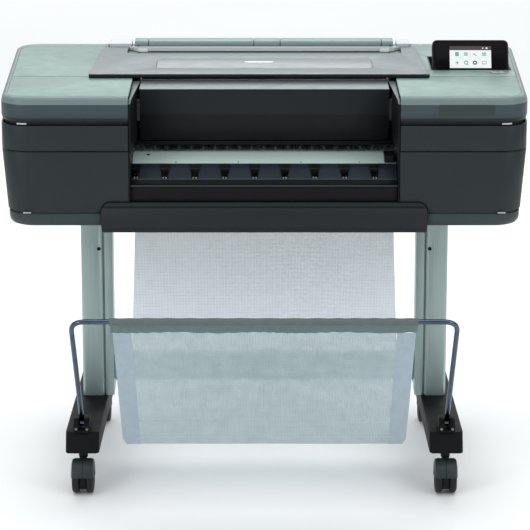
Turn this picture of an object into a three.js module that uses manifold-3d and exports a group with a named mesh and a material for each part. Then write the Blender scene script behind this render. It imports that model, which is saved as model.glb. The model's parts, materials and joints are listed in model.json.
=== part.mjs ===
// A large format plotter on a wheeled stand, with a fabric basket for the finished sheets.
// Millimetres, +Z up. The front faces -Y, and the origin is on the floor at the middle of the overall box.
// Inside the two groups y is the depth behind the body's front face; the root group moves it to the middle.
import * as THREE from "three";
import { mergeVertices } from "three/addons/utils/BufferGeometryUtils.js";
import Module from "manifold-3d";

const wasm = await Module();
wasm.setup();

// ---- Driving dimensions: the whole machine ----
const FRONT_WIDTH = 1202;
const FLARE = 18; // how much further out each side unit reaches at the back than at the front
const BODY_DEPTH = 700;
const TOP_HEIGHT = 966; // top panels above the floor
const BODY_HEIGHT = 302;
const PAPER_WIDTH = 610;
const GAP = 0.5; // between fixed pieces
const RUNNING_GAP = 0.6; // radial, around a turning shaft

const HALF = FRONT_WIDTH / 2;
const SLOT_HALF = PAPER_WIDTH / 2 + 4.5; // half of the paper path between the side units
const BODY_BOTTOM = TOP_HEIGHT - BODY_HEIGHT;

// ---- Side units: heights above the body's underside ----
const CORNER = 60;
const WALL = 4;
const DRAFT = 11; // how far the lower cover draws in towards its lower edge
const TRAY_TOP = 30;
const COVER_BOTTOM = 35;
const SEAM_LOW = 175;
const SEAM_HIGH = 179;
const COVER_TOP = 238;
const RIM_BOTTOM = 230; // the rim's neck reaches down inside the covers
const RIM_NECK_TOP = 246;
const RIM_BAND_TOP = 257;
const RIM_FACE_TOP = 288;
const SEAM_INSET = 2;
const NECK_INSET = 8;
const BAND_INSET = 4;
const RIM_BEVEL = 9;
const RIM_SIDE = 13; // flat frame round the top panels
const RIM_FRONT = 18;
const RIM_BACK = 38;
const PANEL_THICK = 4;
const PANEL_SPLIT = 262; // depth of the seam between the front and rear top panels
const DOOR_WRAP = 25; // how far an ink door reaches round its corner
const DOOR_WALL = 3.5;
const DOOR_HINGE = 3; // door hinge axis behind the front face
const DOOR_HINGE_RADIUS = 2;

// ---- Paper path ----
const SHEET_METAL = 5;
const RECESS_DEPTH = 155; // front face to the back of the print window
const WINDOW_FRONT = 141;
const WINDOW_TOP = 294;
const WINDOW_BOTTOM = 173;
const WINDOW_WALL = 4;
const WINDOW_BACK = 232;
const PLATEN_TOP = 142;
const PLATEN_FRONT = 100;
const PLATEN_DROP = 13;
const PLATEN_BACK = 288;
const OUTPUT_FRONT = 30;
const OUTPUT_LIP_TOP = 108;
const OUTPUT_BOTTOM = 60;
const NOTCHES = 9;
const NOTCH_PITCH = 69;
const NOTCH_FRONT_WIDTH = 11;
const NOTCH_BACK_WIDTH = 20;
const NOTCH_LENGTH = 46;
const SLOT_WALL = 2.7;
const FRONT_COVER_HALF = SLOT_HALF + 64.5;
const FRONT_COVER_TOP = 58;
const FRONT_COVER_DROP = 14; // below the body's underside
const FRONT_COVER_DEPTH = 60;
const FRONT_COVER_CORNER = 22;

// ---- Carriage, rollers and roll ----
const BEAM_FRONT = 306;
const BEAM_BACK = 346;
const BEAM_BOTTOM = 186;
const BEAM_TOP = 232;
const BEAM_END = 45; // beam end to the body's front corner width
const CARRIAGE_WIDTH = 130;
const CARRIAGE_FRONT = 166;
const CARRIAGE_BACK = 294;
const CARRIAGE_BOTTOM = 145;
const CARRIAGE_TOP = 272;
const CARRIAGE_PARK = HALF - 151;
const PULLEY_RADIUS = 12;
const PULLEY_HEIGHT = 250;
const PULLEY_INSET = 26; // pulley centre to the beam's end
const BELT_FRONT = 322;
const BELT_WIDTH = 8;
const BELT_THICK = 1.4;
const FEED_DEPTH = 308;
const FEED_HEIGHT = 125;
const FEED_RADIUS = 15;
const PINCH_RADIUS = 8.3;
const JOURNAL_RADIUS = 5;
const SIDE_PLATE_IN = SLOT_HALF + 8.5;
const SIDE_PLATE_THICK = 3;
const CHANNEL_WALL = 3;
const SPINDLE_FROM_BACK = 180;
const SPINDLE_HEIGHT = 190;
const SPINDLE_RADIUS = 10;
const HUB_RADIUS = 66;
const CORE_RADIUS = 25;
const ROLL_RADIUS = 55;

// ---- Lid and touch screen ----
const LID_FRONT = 238;
const LID_LEFT = SLOT_HALF + 104.5;
const LID_RIGHT = SLOT_HALF + 80.5;
const LID_TAPER = 21;
const LID_THICK = 9;
const LID_SKIN = 4;
const LID_FROM_BACK = 60; // hinge axis to the body's back
const LID_AXIS_RISE = 4.5; // hinge axis above the lid's underside
const LID_HINGE_RADIUS = 2.5;
const NOTCH_HALF = SLOT_HALF + 25.5;
const NOTCH_DEPTH = 133;
const ARM_WIDTH = 8;
const ARM_LENGTH = 42;
const LID_WINDOW_HALF = SLOT_HALF - 52.5;
const LID_WINDOW_FRONT = 312;
const LID_WINDOW_DEPTH = 122;
const SCREEN_WIDTH = 182;
const SCREEN_HEIGHT = 84;
const SCREEN_THICK = 22;
const SCREEN_PROUD = 4; // front face ahead of the hinge axis
const SCREEN_TILT = 32; // degrees back from upright
const SCREEN_CENTRE = HALF - 108;
const SCREEN_DEPTH = 352;
const SCREEN_AXIS_DROP = 10;
const POCKET_MARGIN = 5;
const POCKET_FRONT = 339;
const POCKET_LENGTH = 180;
const POCKET_DROP = 34;
const BUTTON_X = HALF - 47;
const BUTTON_DEPTH = 310;
const BUTTON_LENGTH = 30;
const BUTTON_WIDTH = 14;

// ---- Stand: heights above the floor ----
const LEG_OUT = SLOT_HALF + 136.5;
const LEG_FACE = 52.5;
const LEG_GROOVE = 4;
const LEG_FLANGE = 19.5;
const LEG_FRONT = 362;
const LEG_DEPTH = 75;
const LEG_WALL = 3.5;
const FOOT_FRONT = 52;
const FOOT_BACK = BODY_DEPTH - 10;
const FOOT_CENTRE_FRONT = LEG_OUT - 15.5;
const FOOT_CENTRE_BACK = LEG_OUT - 28;
const FOOT_WIDTH = 79;
const FOOT_HEIGHT = 47;
const FOOT_NOSE = 20; // slope of the front end
const FOOT_LIP = 3;
const WHEEL_RADIUS = 40;
const FOOT_BOTTOM = 2 * WHEEL_RADIUS + 20;
const FOOT_TOP = FOOT_BOTTOM + FOOT_HEIGHT;
const WHEEL_WIDTH = 52;
const WHEEL_SPLIT = 18; // space between the twin wheels
const WHEEL_TRAIL = 20;
const AXLE_RADIUS = 5;
const SWIVEL_FRONT = 87;
const SWIVEL_BACK = FOOT_BACK - 50;
const BRACE_BOTTOM = FOOT_TOP + 31;
const BRACE_HEIGHT = 65;
const BRACE_FRONT = 395;
const BRACE_DEPTH = 40;
const BAR_RADIUS = 6;
const BAR_PIVOT_X = LEG_OUT - 14;
const BAR_PIVOT_DEPTH = 95;
const BAR_PIVOT_HEIGHT = FOOT_TOP + 18;
const BAR_TOP_X = LEG_OUT - 5;
const BAR_REACH = 205; // bar ahead of its pivot
const BAR_RISE = 305; // bar above its pivot
const BAR_BEND = 26;
const EYE_RADIUS = 10;
const PIN_RADIUS = 4;
const BASKET_TOP_HALF = SLOT_HALF + 36.5;
const BASKET_BOTTOM_HALF = SLOT_HALF + 25.5;
const REAR_SHEET_HALF = SLOT_HALF + 8.5;
const FOLD_DEPTH = 60;
const FOLD_HEIGHT = 121;
const CLOTH = 3;
const REAR_ROD_DEPTH = BODY_DEPTH - 160;
const REAR_ROD_DROP = 36; // below the body's underside
const REAR_ROD_RADIUS = 5;

// ---- Finishes ----
function finish(color, roughness, metalness) {
  return new THREE.MeshStandardMaterial({ color, roughness, metalness });
}
const charcoal = finish(0x34383a, 0.6, 0);
const slate = finish(0x4c555a, 0.5, 0.1);
const trayGrey = finish(0x4b5858, 0.5, 0.1);
const sage = finish(0xb0c4bc, 0.45, 0.3);
const lidGrey = finish(0xafb8bb, 0.45, 0.2);
const lidClear = finish(0xc3cbcd, 0.2, 0);
const black = finish(0x17191b, 0.5, 0);
const glossBlack = finish(0x08090a, 0.12, 0);
const windowDark = finish(0x26292c, 0.3, 0);
const brushed = finish(0x8ca09b, 0.35, 0.8);
const chrome = finish(0x4a5058, 0.15, 1);
const steel = finish(0x9a9d9f, 0.4, 0.9);
const rubber = finish(0x1b1b1c, 0.8, 0);
const netting = finish(0xb2c6c6, 0.9, 0);
const paper = finish(0xf2f2ee, 0.85, 0);
const inkGrey = finish(0x3a3d40, 0.4, 0);
const board = finish(0x7e8487, 0.5, 0.6);

// ---- Geometry helpers ----
const X_FROM_SECTION = new THREE.Matrix4().makeBasis(
  new THREE.Vector3(0, 1, 0),
  new THREE.Vector3(0, 0, 1),
  new THREE.Vector3(1, 0, 0),
);

function box(x0, x1, y0, y1, z0, z1) {
  const geometry = new THREE.BoxGeometry(x1 - x0, y1 - y0, z1 - z0);
  return geometry.translate((x0 + x1) / 2, (y0 + y1) / 2, (z0 + z1) / 2);
}

// A rectangle with its own radius at each corner: lower left, lower right, upper right, upper left.
function roundRect(x0, y0, x1, y1, radii) {
  const [a, b, c, d] = Array.isArray(radii) ? radii : [radii, radii, radii, radii];
  const shape = new THREE.Shape();
  shape.moveTo(x0 + a, y0);
  shape.lineTo(x1 - b, y0);
  if (b) shape.absarc(x1 - b, y0 + b, b, -Math.PI / 2, 0, false);
  shape.lineTo(x1, y1 - c);
  if (c) shape.absarc(x1 - c, y1 - c, c, 0, Math.PI / 2, false);
  shape.lineTo(x0 + d, y1);
  if (d) shape.absarc(x0 + d, y1 - d, d, Math.PI / 2, Math.PI, false);
  shape.lineTo(x0, y0 + a);
  if (a) shape.absarc(x0 + a, y0 + a, a, Math.PI, 1.5 * Math.PI, false);
  return shape;
}

function polygon(points) {
  return new THREE.Shape(points.map(([x, y]) => new THREE.Vector2(x, y)));
}

// A plan outline raised from z0 to z1.
function prism(shape, z0, z1, curveSegments = 5) {
  const options = { depth: z1 - z0, bevelEnabled: false, curveSegments };
  return new THREE.ExtrudeGeometry(shape, options).translate(0, 0, z0);
}

// A section drawn in depth and height, carried from x0 to x1.
function section(points, x0, x1) {
  const shape = Array.isArray(points) ? polygon(points) : points;
  const options = { depth: x1 - x0, bevelEnabled: false, curveSegments: 6 };
  return new THREE.ExtrudeGeometry(shape, options).applyMatrix4(X_FROM_SECTION).translate(x0, 0, 0);
}

// An outline drawn in width and height, carried from depth y0 to y1.
function panel(shape, y0, y1, curveSegments = 5) {
  const options = { depth: y1 - y0, bevelEnabled: false, curveSegments };
  return new THREE.ExtrudeGeometry(shape, options).rotateX(Math.PI / 2).translate(0, y1, 0);
}

function rodX(radius, x0, x1, y, z, sides = 16) {
  const geometry = new THREE.CylinderGeometry(radius, radius, x1 - x0, sides);
  return geometry.rotateZ(Math.PI / 2).translate((x0 + x1) / 2, y, z);
}

function rodY(radius, x, y0, y1, z, sides = 16) {
  const geometry = new THREE.CylinderGeometry(radius, radius, y1 - y0, sides);
  return geometry.translate(x, (y0 + y1) / 2, z);
}

function rodZ(radius, x, y, z0, z1, sides = 16) {
  const geometry = new THREE.CylinderGeometry(radius, radius, z1 - z0, sides);
  return geometry.rotateX(Math.PI / 2).translate(x, y, (z0 + z1) / 2);
}

// Moves every point of a geometry by a rule.
function reshape(geometry, rule) {
  const position = geometry.getAttribute("position");
  for (let i = 0; i < position.count; i++) {
    const point = new THREE.Vector3().fromBufferAttribute(position, i);
    rule(point);
    position.setXYZ(i, point.x, point.y, point.z);
  }
  return geometry;
}

function solid(geometry) {
  const plain = geometry.index ? geometry.toNonIndexed() : geometry.clone();
  plain.deleteAttribute("normal");
  plain.deleteAttribute("uv");
  const merged = mergeVertices(plain, 1e-4);
  const vertProperties = merged.getAttribute("position").array;
  const triVerts = new Uint32Array(merged.index.array);
  return new wasm.Manifold(new wasm.Mesh({ numProp: 3, vertProperties, triVerts }));
}

function fromSolid(made) {
  const { vertProperties, triVerts } = made.getMesh();
  const geometry = new THREE.BufferGeometry();
  geometry.setAttribute("position", new THREE.BufferAttribute(vertProperties, 3));
  geometry.setIndex(new THREE.BufferAttribute(triVerts, 1));
  return geometry;
}

function join(...geometries) {
  return fromSolid(geometries.map(solid).reduce((a, b) => a.add(b)));
}

function cut(geometry, ...tools) {
  return fromSolid(tools.map(solid).reduce((a, b) => a.subtract(b), solid(geometry)));
}

function common(a, b) {
  return fromSolid(solid(a).intersect(solid(b)));
}

// ---- Scene graph ----
const plotter = new THREE.Group();
const body = new THREE.Group();
const stand = new THREE.Group();
body.position.z = BODY_BOTTOM;
plotter.add(body, stand);

function add(group, name, geometry, material, mirrored = false) {
  const part = new THREE.Mesh(geometry, material);
  part.name = name;
  if (mirrored) part.scale.x = -1;
  group.add(part);
  return part;
}

// A piece made for the right side, and its mirror image on the left.
function addPair(group, name, make, material) {
  add(group, "right_" + name, make(), material);
  add(group, "left_" + name, make(), material, true);
}

// ---- Side units ----
// Plan outline of the right side unit, drawn in from its outer edges.
function sideOutline(inset, inner = SLOT_HALF + GAP) {
  const radius = CORNER - inset;
  return roundRect(inner, inset, HALF - inset, BODY_DEPTH - inset, [0, radius, radius, 0]);
}

// The side unit's spread towards the back.
function flare(geometry) {
  return reshape(geometry, (point) => {
    const reach = Math.max(0, (Math.abs(point.x) - SLOT_HALF) / (HALF - SLOT_HALF));
    point.x += Math.sign(point.x) * FLARE * reach * (point.y / BODY_DEPTH);
  });
}

// The lower cover's draft towards its lower edge.
function draft(geometry) {
  return reshape(geometry, (point) => {
    const fall = Math.max(0, (SEAM_LOW - point.z) / (SEAM_LOW - COVER_BOTTOM));
    point.x -= (DRAFT * fall * (point.x - SLOT_HALF)) / (HALF - SLOT_HALF);
    point.y += DRAFT * 0.5 * fall * (1 - (2 * point.y) / BODY_DEPTH);
  });
}

function frontCoverSpace(margin) {
  const half = FRONT_COVER_HALF + margin;
  const top = FRONT_COVER_TOP + margin;
  const radius = FRONT_COVER_CORNER + margin;
  const shape = roundRect(-half, -FRONT_COVER_DROP - 40, half, top, [0, 0, radius, radius]);
  return panel(shape, -20, FRONT_COVER_DEPTH + margin);
}

function sideCover() {
  const open = SLOT_HALF - 20;
  const lower = draft(prism(sideOutline(0), COVER_BOTTOM, SEAM_LOW));
  const seam = prism(sideOutline(SEAM_INSET), SEAM_LOW - 4, SEAM_HIGH + 4);
  const upper = prism(sideOutline(0), SEAM_HIGH, COVER_TOP);
  const lowerSpace = draft(prism(sideOutline(WALL, open), COVER_BOTTOM - 1, SEAM_LOW));
  const upperSpace = prism(sideOutline(WALL, open), SEAM_LOW - 1, COVER_TOP + 1);
  const door = box(open, HALF + 40, -5, DOOR_WRAP + 2 * GAP, SEAM_LOW + 2, COVER_TOP + 1);
  const shell = cut(join(lower, seam, upper), lowerSpace, upperSpace, door, frontCoverSpace(1));
  return flare(shell);
}

function inkDoor() {
  const band = prism(sideOutline(0, SLOT_HALF + 1), SEAM_HIGH, COVER_TOP - 1);
  const space = prism(sideOutline(DOOR_WALL, SLOT_HALF - 20), SEAM_HIGH - 1, COVER_TOP);
  const front = box(SLOT_HALF, HALF + 10, -1, DOOR_WRAP, SEAM_HIGH - 2, COVER_TOP);
  const hingeHeight = SEAM_HIGH + 1.5;
  const barrel = rodX(DOOR_HINGE_RADIUS, SLOT_HALF + 6, HALF - CORNER, DOOR_HINGE, hingeHeight, 10);
  return flare(join(common(cut(band, space), front), barrel));
}

function topRim() {
  const bevelled = new THREE.ExtrudeGeometry(sideOutline(RIM_BEVEL), {
    depth: RIM_FACE_TOP - RIM_BAND_TOP,
    bevelSize: RIM_BEVEL,
    bevelThickness: BODY_HEIGHT - RIM_FACE_TOP,
    bevelSegments: 2,
    curveSegments: 6,
  }).translate(0, 0, RIM_BAND_TOP);
  const band = prism(sideOutline(BAND_INSET), RIM_NECK_TOP, RIM_BAND_TOP + 8);
  const neck = prism(sideOutline(NECK_INSET), RIM_BOTTOM, RIM_NECK_TOP + 4);
  const opening = roundRect(
    SLOT_HALF - 20,
    RIM_FRONT,
    HALF - RIM_SIDE,
    BODY_DEPTH - RIM_BACK,
    [0, CORNER - RIM_FRONT, CORNER - RIM_FRONT, 0],
  );
  const inner = box(0, SLOT_HALF + GAP, -30, BODY_DEPTH + 30, 0, BODY_HEIGHT + 20);
  const below = box(0, HALF + 30, -30, BODY_DEPTH + 30, 0, RIM_NECK_TOP);
  const skirt = cut(join(cut(bevelled, below), band, neck), prism(opening, 0, BODY_HEIGHT + 1));
  return flare(cut(skirt, inner));
}

function topPanel(y0, y1) {
  const outline = roundRect(
    SLOT_HALF + GAP,
    RIM_FRONT + GAP,
    HALF - RIM_SIDE - GAP,
    BODY_DEPTH - RIM_BACK - GAP,
    [0, CORNER - RIM_FRONT, CORNER - RIM_FRONT, 0],
  );
  const plate = prism(outline, BODY_HEIGHT - PANEL_THICK, BODY_HEIGHT);
  return flare(common(plate, box(0, HALF + 20, y0, y1, 0, BODY_HEIGHT + 1)));
}

addPair(body, "side_cover", sideCover, charcoal);
addPair(body, "ink_door", inkDoor, charcoal);
addPair(body, "top_rim", topRim, slate);
addPair(body, "front_top_panel", () => topPanel(0, PANEL_SPLIT - GAP), sage);
add(body, "left_rear_top_panel", topPanel(PANEL_SPLIT, BODY_DEPTH), sage, true);

// ---- Touch screen in a pocket of the right rear top panel, and the power button ----
const SCREEN_AXIS = BODY_HEIGHT - SCREEN_AXIS_DROP;
const POCKET_HALF = SCREEN_WIDTH / 2 + POCKET_MARGIN;
const POCKET_FLOOR = BODY_HEIGHT - POCKET_DROP;
const LUG_OUT = SCREEN_WIDTH / 2 - 14;
const LUG_WIDTH = 10;
const LUG_HALF = 5; // its corner passes inside the glass as the screen tilts
const SCREEN_PIN = 3;

function buttonShape(margin) {
  const halfLength = BUTTON_LENGTH / 2 + margin;
  const halfWidth = BUTTON_WIDTH / 2 + margin;
  return roundRect(
    BUTTON_X - halfLength,
    BUTTON_DEPTH - halfWidth,
    BUTTON_X + halfLength,
    BUTTON_DEPTH + halfWidth,
    halfWidth - 0.1,
  );
}

function pocketBox(margin, z0, z1) {
  const x0 = SCREEN_CENTRE - POCKET_HALF - margin;
  const x1 = SCREEN_CENTRE + POCKET_HALF + margin;
  return box(x0, x1, POCKET_FRONT - margin, POCKET_FRONT + POCKET_LENGTH + margin, z0, z1);
}

function rightRearPanel() {
  const hole = prism(buttonShape(GAP), 0, BODY_HEIGHT + 1);
  return cut(topPanel(PANEL_SPLIT, BODY_DEPTH), pocketBox(0, 0, BODY_HEIGHT + 1), hole);
}

function screenTray() {
  const top = BODY_HEIGHT - 1;
  const tub = cut(pocketBox(-GAP, POCKET_FLOOR - 3, top), pocketBox(-3, POCKET_FLOOR, top + 1));
  const lugs = [-1, 1].map((side) => {
    const middle = SCREEN_CENTRE + side * (LUG_OUT - LUG_WIDTH / 2);
    const x0 = middle - LUG_WIDTH / 2;
    const y = SCREEN_DEPTH;
    return box(x0, x0 + LUG_WIDTH, y - LUG_HALF, y + LUG_HALF, POCKET_FLOOR - 1, SCREEN_AXIS + LUG_HALF);
  });
  const reach = SCREEN_WIDTH / 2 - 5;
  const [x0, x1] = [SCREEN_CENTRE - reach, SCREEN_CENTRE + reach];
  const bore = rodX(SCREEN_PIN + GAP, x0, x1, SCREEN_DEPTH, SCREEN_AXIS, 12);
  return cut(join(tub, ...lugs), bore);
}

// Screen pieces are drawn upright about the hinge axis, then leaned back.
function leanBack(geometry) {
  const turned = geometry.rotateX(-THREE.MathUtils.degToRad(SCREEN_TILT));
  return turned.translate(SCREEN_CENTRE, SCREEN_DEPTH, SCREEN_AXIS);
}

function screenHousing() {
  const half = SCREEN_WIDTH / 2;
  const outline = roundRect(-half, 0, half, SCREEN_HEIGHT, [5, 5, 12, 12]);
  const slab = panel(outline, -SCREEN_PROUD, SCREEN_THICK - SCREEN_PROUD);
  const glassSpace = roundRect(-half + 5, 7, half - 5, SCREEN_HEIGHT - 5, 8);
  const spaces = [-1, 1].map((side) => {
    const middle = side * (LUG_OUT - LUG_WIDTH / 2);
    const reach = LUG_WIDTH / 2 + GAP;
    return box(middle - reach, middle + reach, -20, 30, -1, 12);
  });
  const pin = rodX(SCREEN_PIN, -half + 8, half - 8, 0, 0.5, 12);
  const root = box(-half + 24, half - 24, -SCREEN_PROUD, 4, -3, 5);
  const shell = cut(slab, panel(glassSpace, -SCREEN_PROUD - 1, 2.5 - SCREEN_PROUD), ...spaces);
  return leanBack(join(shell, root, pin.translate(0, 0, -0.5)));
}

function screenGlass() {
  const half = SCREEN_WIDTH / 2 - 5 - GAP;
  const outline = roundRect(-half, 7 + GAP, half, SCREEN_HEIGHT - 5 - GAP, 8);
  return leanBack(panel(outline, 0.2 - SCREEN_PROUD, 2 - SCREEN_PROUD));
}

add(body, "right_rear_top_panel", rightRearPanel(), sage);
add(body, "screen_tray", screenTray(), black);
add(body, "screen_housing", screenHousing(), black);
add(body, "screen_glass", screenGlass(), glossBlack);
add(body, "power_button", prism(buttonShape(0), BODY_HEIGHT - 6, BODY_HEIGHT + 1.5), lidGrey);

// ---- Base tray, back and front covers ----
function baseTray() {
  const edge = 14;
  const half = HALF - DRAFT - 2;
  const outline = (inset) =>
    roundRect(-half + inset, 5 + inset, half - inset, BODY_DEPTH - 5 - inset, CORNER - inset);
  const block = new THREE.ExtrudeGeometry(outline(edge), {
    depth: TRAY_TOP,
    bevelSize: edge,
    bevelThickness: edge + 4,
    bevelSegments: 3,
    curveSegments: 5,
  }).translate(0, 0, edge + 4);
  const above = box(-HALF - 40, HALF + 40, -40, BODY_DEPTH + 40, TRAY_TOP, TRAY_TOP + 80);
  const lip = prism(outline(5), TRAY_TOP - 8, COVER_BOTTOM - GAP);
  const space = prism(outline(10), SHEET_METAL, COVER_BOTTOM + 1);
  const tray = cut(join(cut(block, above), lip), space, frontCoverSpace(1));
  return flare(tray);
}

function rearCover() {
  const half = SLOT_HALF - GAP;
  const top = BODY_HEIGHT - 2;
  const deckFront = BODY_DEPTH - LID_FROM_BACK - NOTCH_DEPTH + 10;
  const wall = box(-half, half, BODY_DEPTH - WALL, BODY_DEPTH, COVER_BOTTOM, top);
  const deck = box(-half, half, deckFront, BODY_DEPTH, top - WALL, top);
  const turnDown = box(-half, half, deckFront, deckFront + WALL, top - 16, top);
  return cut(join(wall, deck, turnDown), inletSpace(GAP));
}

const INLET_X = SLOT_HALF - 73.5;
const INLET_HEIGHT = 70;
function inletSpace(margin) {
  const outline = roundRect(
    INLET_X - 26 - margin,
    INLET_HEIGHT - 16 - margin,
    INLET_X + 26 + margin,
    INLET_HEIGHT + 16 + margin,
    3,
  );
  return panel(outline, BODY_DEPTH - 34, BODY_DEPTH + 2);
}

function powerInlet() {
  const socket = roundRect(INLET_X - 22, INLET_HEIGHT - 9, INLET_X + 2, INLET_HEIGHT + 9, 3);
  return cut(inletSpace(0), panel(socket, BODY_DEPTH - 18, BODY_DEPTH + 3));
}

function loadingBar() {
  const back = BODY_DEPTH - 50;
  const low = BODY_HEIGHT + 1;
  const profile = roundRect(back - 58, low, back, low + 23, [2, 2, 9, 9]);
  return section(profile, -SLOT_HALF - 10.5, SLOT_HALF + 8.5);
}

function lowerFrontCover() {
  const top = FRONT_COVER_TOP;
  const low = -FRONT_COVER_DROP;
  const wall = 4;
  const profile = [
    [0, top],
    [0, 49],
    [2, 48],
    [2, 46],
    [-1, 45],
    [-5, 33],
    [-5, 1],
    [-3, -1],
    [7, -2],
    [7, low],
    [FRONT_COVER_DEPTH, low],
    [FRONT_COVER_DEPTH, low + wall],
    [7 + wall, low + wall],
    [7 + wall, 2],
    [-1, 3],
    [-1, 33],
    [4, 45],
    [4, top - wall],
    [FRONT_COVER_DEPTH, top - wall],
    [FRONT_COVER_DEPTH, top],
  ];
  const outline = roundRect(-FRONT_COVER_HALF, low, FRONT_COVER_HALF, top, [
    6,
    6,
    FRONT_COVER_CORNER,
    FRONT_COVER_CORNER,
  ]);
  const shape = section(profile.reverse(), -FRONT_COVER_HALF, FRONT_COVER_HALF);
  return common(shape, panel(outline, -20, FRONT_COVER_DEPTH + 20));
}

add(body, "base_tray", baseTray(), trayGrey);
add(body, "rear_cover", rearCover(), lidGrey);
add(body, "power_inlet", powerInlet(), black);
add(body, "loading_bar", loadingBar(), sage);
add(body, "lower_front_cover", lowerFrontCover(), charcoal);

// ---- Recess walls, print window and platens ----
function recessWall() {
  const out = SLOT_HALF - GAP;
  const blade = polygon([
    [out, 1],
    [out, WINDOW_BACK + 18],
    [SLOT_HALF - 18.5, WINDOW_BACK + 18],
    [SLOT_HALF - 5, 1],
  ].reverse());
  const sheet = prism(blade, OUTPUT_BOTTOM, WINDOW_TOP);
  const behind = box(0, out + 5, RECESS_DEPTH + 2, WINDOW_BACK + 30, 0, WINDOW_TOP - 7);
  const below = box(0, out - SLOT_WALL, -5, WINDOW_BACK + 30, 0, WINDOW_BOTTOM);
  const nose = section(
    [
      [-5, RIM_FACE_TOP - 2],
      [26, WINDOW_TOP + 0.5],
      [26, WINDOW_TOP + 30],
      [-5, WINDOW_TOP + 30],
    ],
    0,
    out + 5,
  );
  return cut(sheet, behind, below, nose);
}

function printWindow() {
  const half = SLOT_HALF - 20;
  const foot = RECESS_DEPTH - WINDOW_WALL;
  const bend = 239;
  const profile = [
    [WINDOW_FRONT, WINDOW_TOP],
    [WINDOW_FRONT + 6, bend],
    [foot, WINDOW_BOTTOM],
    [RECESS_DEPTH, WINDOW_BOTTOM],
    [WINDOW_FRONT + 6 + WINDOW_WALL, bend],
    [WINDOW_FRONT + WINDOW_WALL, WINDOW_TOP - WINDOW_WALL],
    [WINDOW_BACK + 18, WINDOW_TOP - WINDOW_WALL],
    [WINDOW_BACK + 18, WINDOW_TOP],
  ];
  return section(profile, -half, half);
}

const SLOT_PIECE_HALF = SLOT_HALF - GAP - SLOT_WALL - GAP;

function platenStrip() {
  const front = PLATEN_TOP - PLATEN_DROP;
  const profile = [
    [PLATEN_FRONT + GAP, front],
    [PLATEN_FRONT + GAP, front - SHEET_METAL],
    [RECESS_DEPTH, PLATEN_TOP - SHEET_METAL],
    [PLATEN_BACK, PLATEN_TOP - SHEET_METAL],
    [PLATEN_BACK, PLATEN_TOP],
    [RECESS_DEPTH, PLATEN_TOP],
  ];
  return section(profile, -SLOT_PIECE_HALF, SLOT_PIECE_HALF);
}

function outputPlaten() {
  const back = PLATEN_TOP - PLATEN_DROP - 1;
  const front = OUTPUT_LIP_TOP;
  const profile = [
    [OUTPUT_FRONT + GAP, front],
    [OUTPUT_FRONT + GAP, front - 8],
    [PLATEN_FRONT, back - 8],
    [PLATEN_FRONT, back],
  ];
  const slab = section(profile, -SLOT_PIECE_HALF, SLOT_PIECE_HALF);
  const notches = [];
  for (let i = 0; i < NOTCHES; i++) {
    const middle = (i - (NOTCHES - 1) / 2) * NOTCH_PITCH - 22;
    const atWall = i === 0; // the first notch runs out into the side wall
    const outline = polygon([
      [atWall ? -SLOT_HALF : middle - NOTCH_FRONT_WIDTH / 2, OUTPUT_FRONT - 5],
      [middle + NOTCH_FRONT_WIDTH / 2, OUTPUT_FRONT - 5],
      [middle + NOTCH_BACK_WIDTH / 2, OUTPUT_FRONT + NOTCH_LENGTH],
      [atWall ? -SLOT_HALF : middle - NOTCH_BACK_WIDTH / 2, OUTPUT_FRONT + NOTCH_LENGTH],
    ]);
    notches.push(prism(outline, 0, PLATEN_TOP));
  }
  return cut(slab, ...notches);
}

function outputFront() {
  const lip = OUTPUT_LIP_TOP - 14;
  const profile = [
    [8, OUTPUT_BOTTOM],
    [OUTPUT_FRONT, OUTPUT_BOTTOM],
    [OUTPUT_FRONT, OUTPUT_LIP_TOP],
    [OUTPUT_FRONT - 8, OUTPUT_LIP_TOP],
    [OUTPUT_FRONT - 10, lip + 4],
    [5, lip + 3],
    [5, lip],
    [8, lip - 1],
  ];
  return section(profile, -SLOT_PIECE_HALF, SLOT_PIECE_HALF);
}

addPair(body, "recess_wall", recessWall, charcoal);
add(body, "print_window", printWindow(), windowDark);
add(body, "platen_strip", platenStrip(), brushed);
add(body, "output_platen", outputPlaten(), windowDark);
add(body, "output_front", outputFront(), charcoal);

// ---- Lid, hinged at the back ----
const LID_LOW = BODY_HEIGHT + 0.6;
const LID_BACK = BODY_DEPTH - LID_FROM_BACK;

function lidOutline(inset) {
  const front = LID_FRONT + inset;
  const back = LID_BACK - inset;
  const notchFront = LID_BACK - NOTCH_DEPTH - inset;
  const left = -LID_LEFT + inset;
  const right = LID_RIGHT - inset;
  const notch = NOTCH_HALF + inset;
  const armLeft = left + LID_TAPER + ARM_WIDTH - 2 * inset;
  const armRight = right - LID_TAPER - ARM_WIDTH + 2 * inset;
  const shape = new THREE.Shape();
  shape.moveTo(left + 10, front);
  shape.lineTo(right - 10, front);
  shape.quadraticCurveTo(right, front, right - 1, front + 10);
  shape.lineTo(right - LID_TAPER, back);
  shape.lineTo(armRight, back);
  shape.lineTo(armRight, back - ARM_LENGTH);
  shape.lineTo(Math.min(notch, armRight - 1), back - ARM_LENGTH);
  shape.lineTo(Math.min(notch, armRight - 1), notchFront + 20);
  shape.quadraticCurveTo(notch, notchFront, notch - 20, notchFront);
  shape.lineTo(-notch + 20, notchFront);
  shape.quadraticCurveTo(-notch, notchFront, -notch, notchFront + 20);
  shape.lineTo(-notch, back - ARM_LENGTH);
  shape.lineTo(armLeft, back - ARM_LENGTH);
  shape.lineTo(armLeft, back);
  shape.lineTo(left + LID_TAPER, back);
  shape.lineTo(left + 1, front + 10);
  shape.quadraticCurveTo(left, front, left + 10, front);
  return shape;
}

function lidWindowShape(margin) {
  const half = LID_WINDOW_HALF + margin;
  const back = LID_WINDOW_FRONT + LID_WINDOW_DEPTH + margin;
  return roundRect(-half, LID_WINDOW_FRONT - margin, half, back, 20);
}

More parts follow.
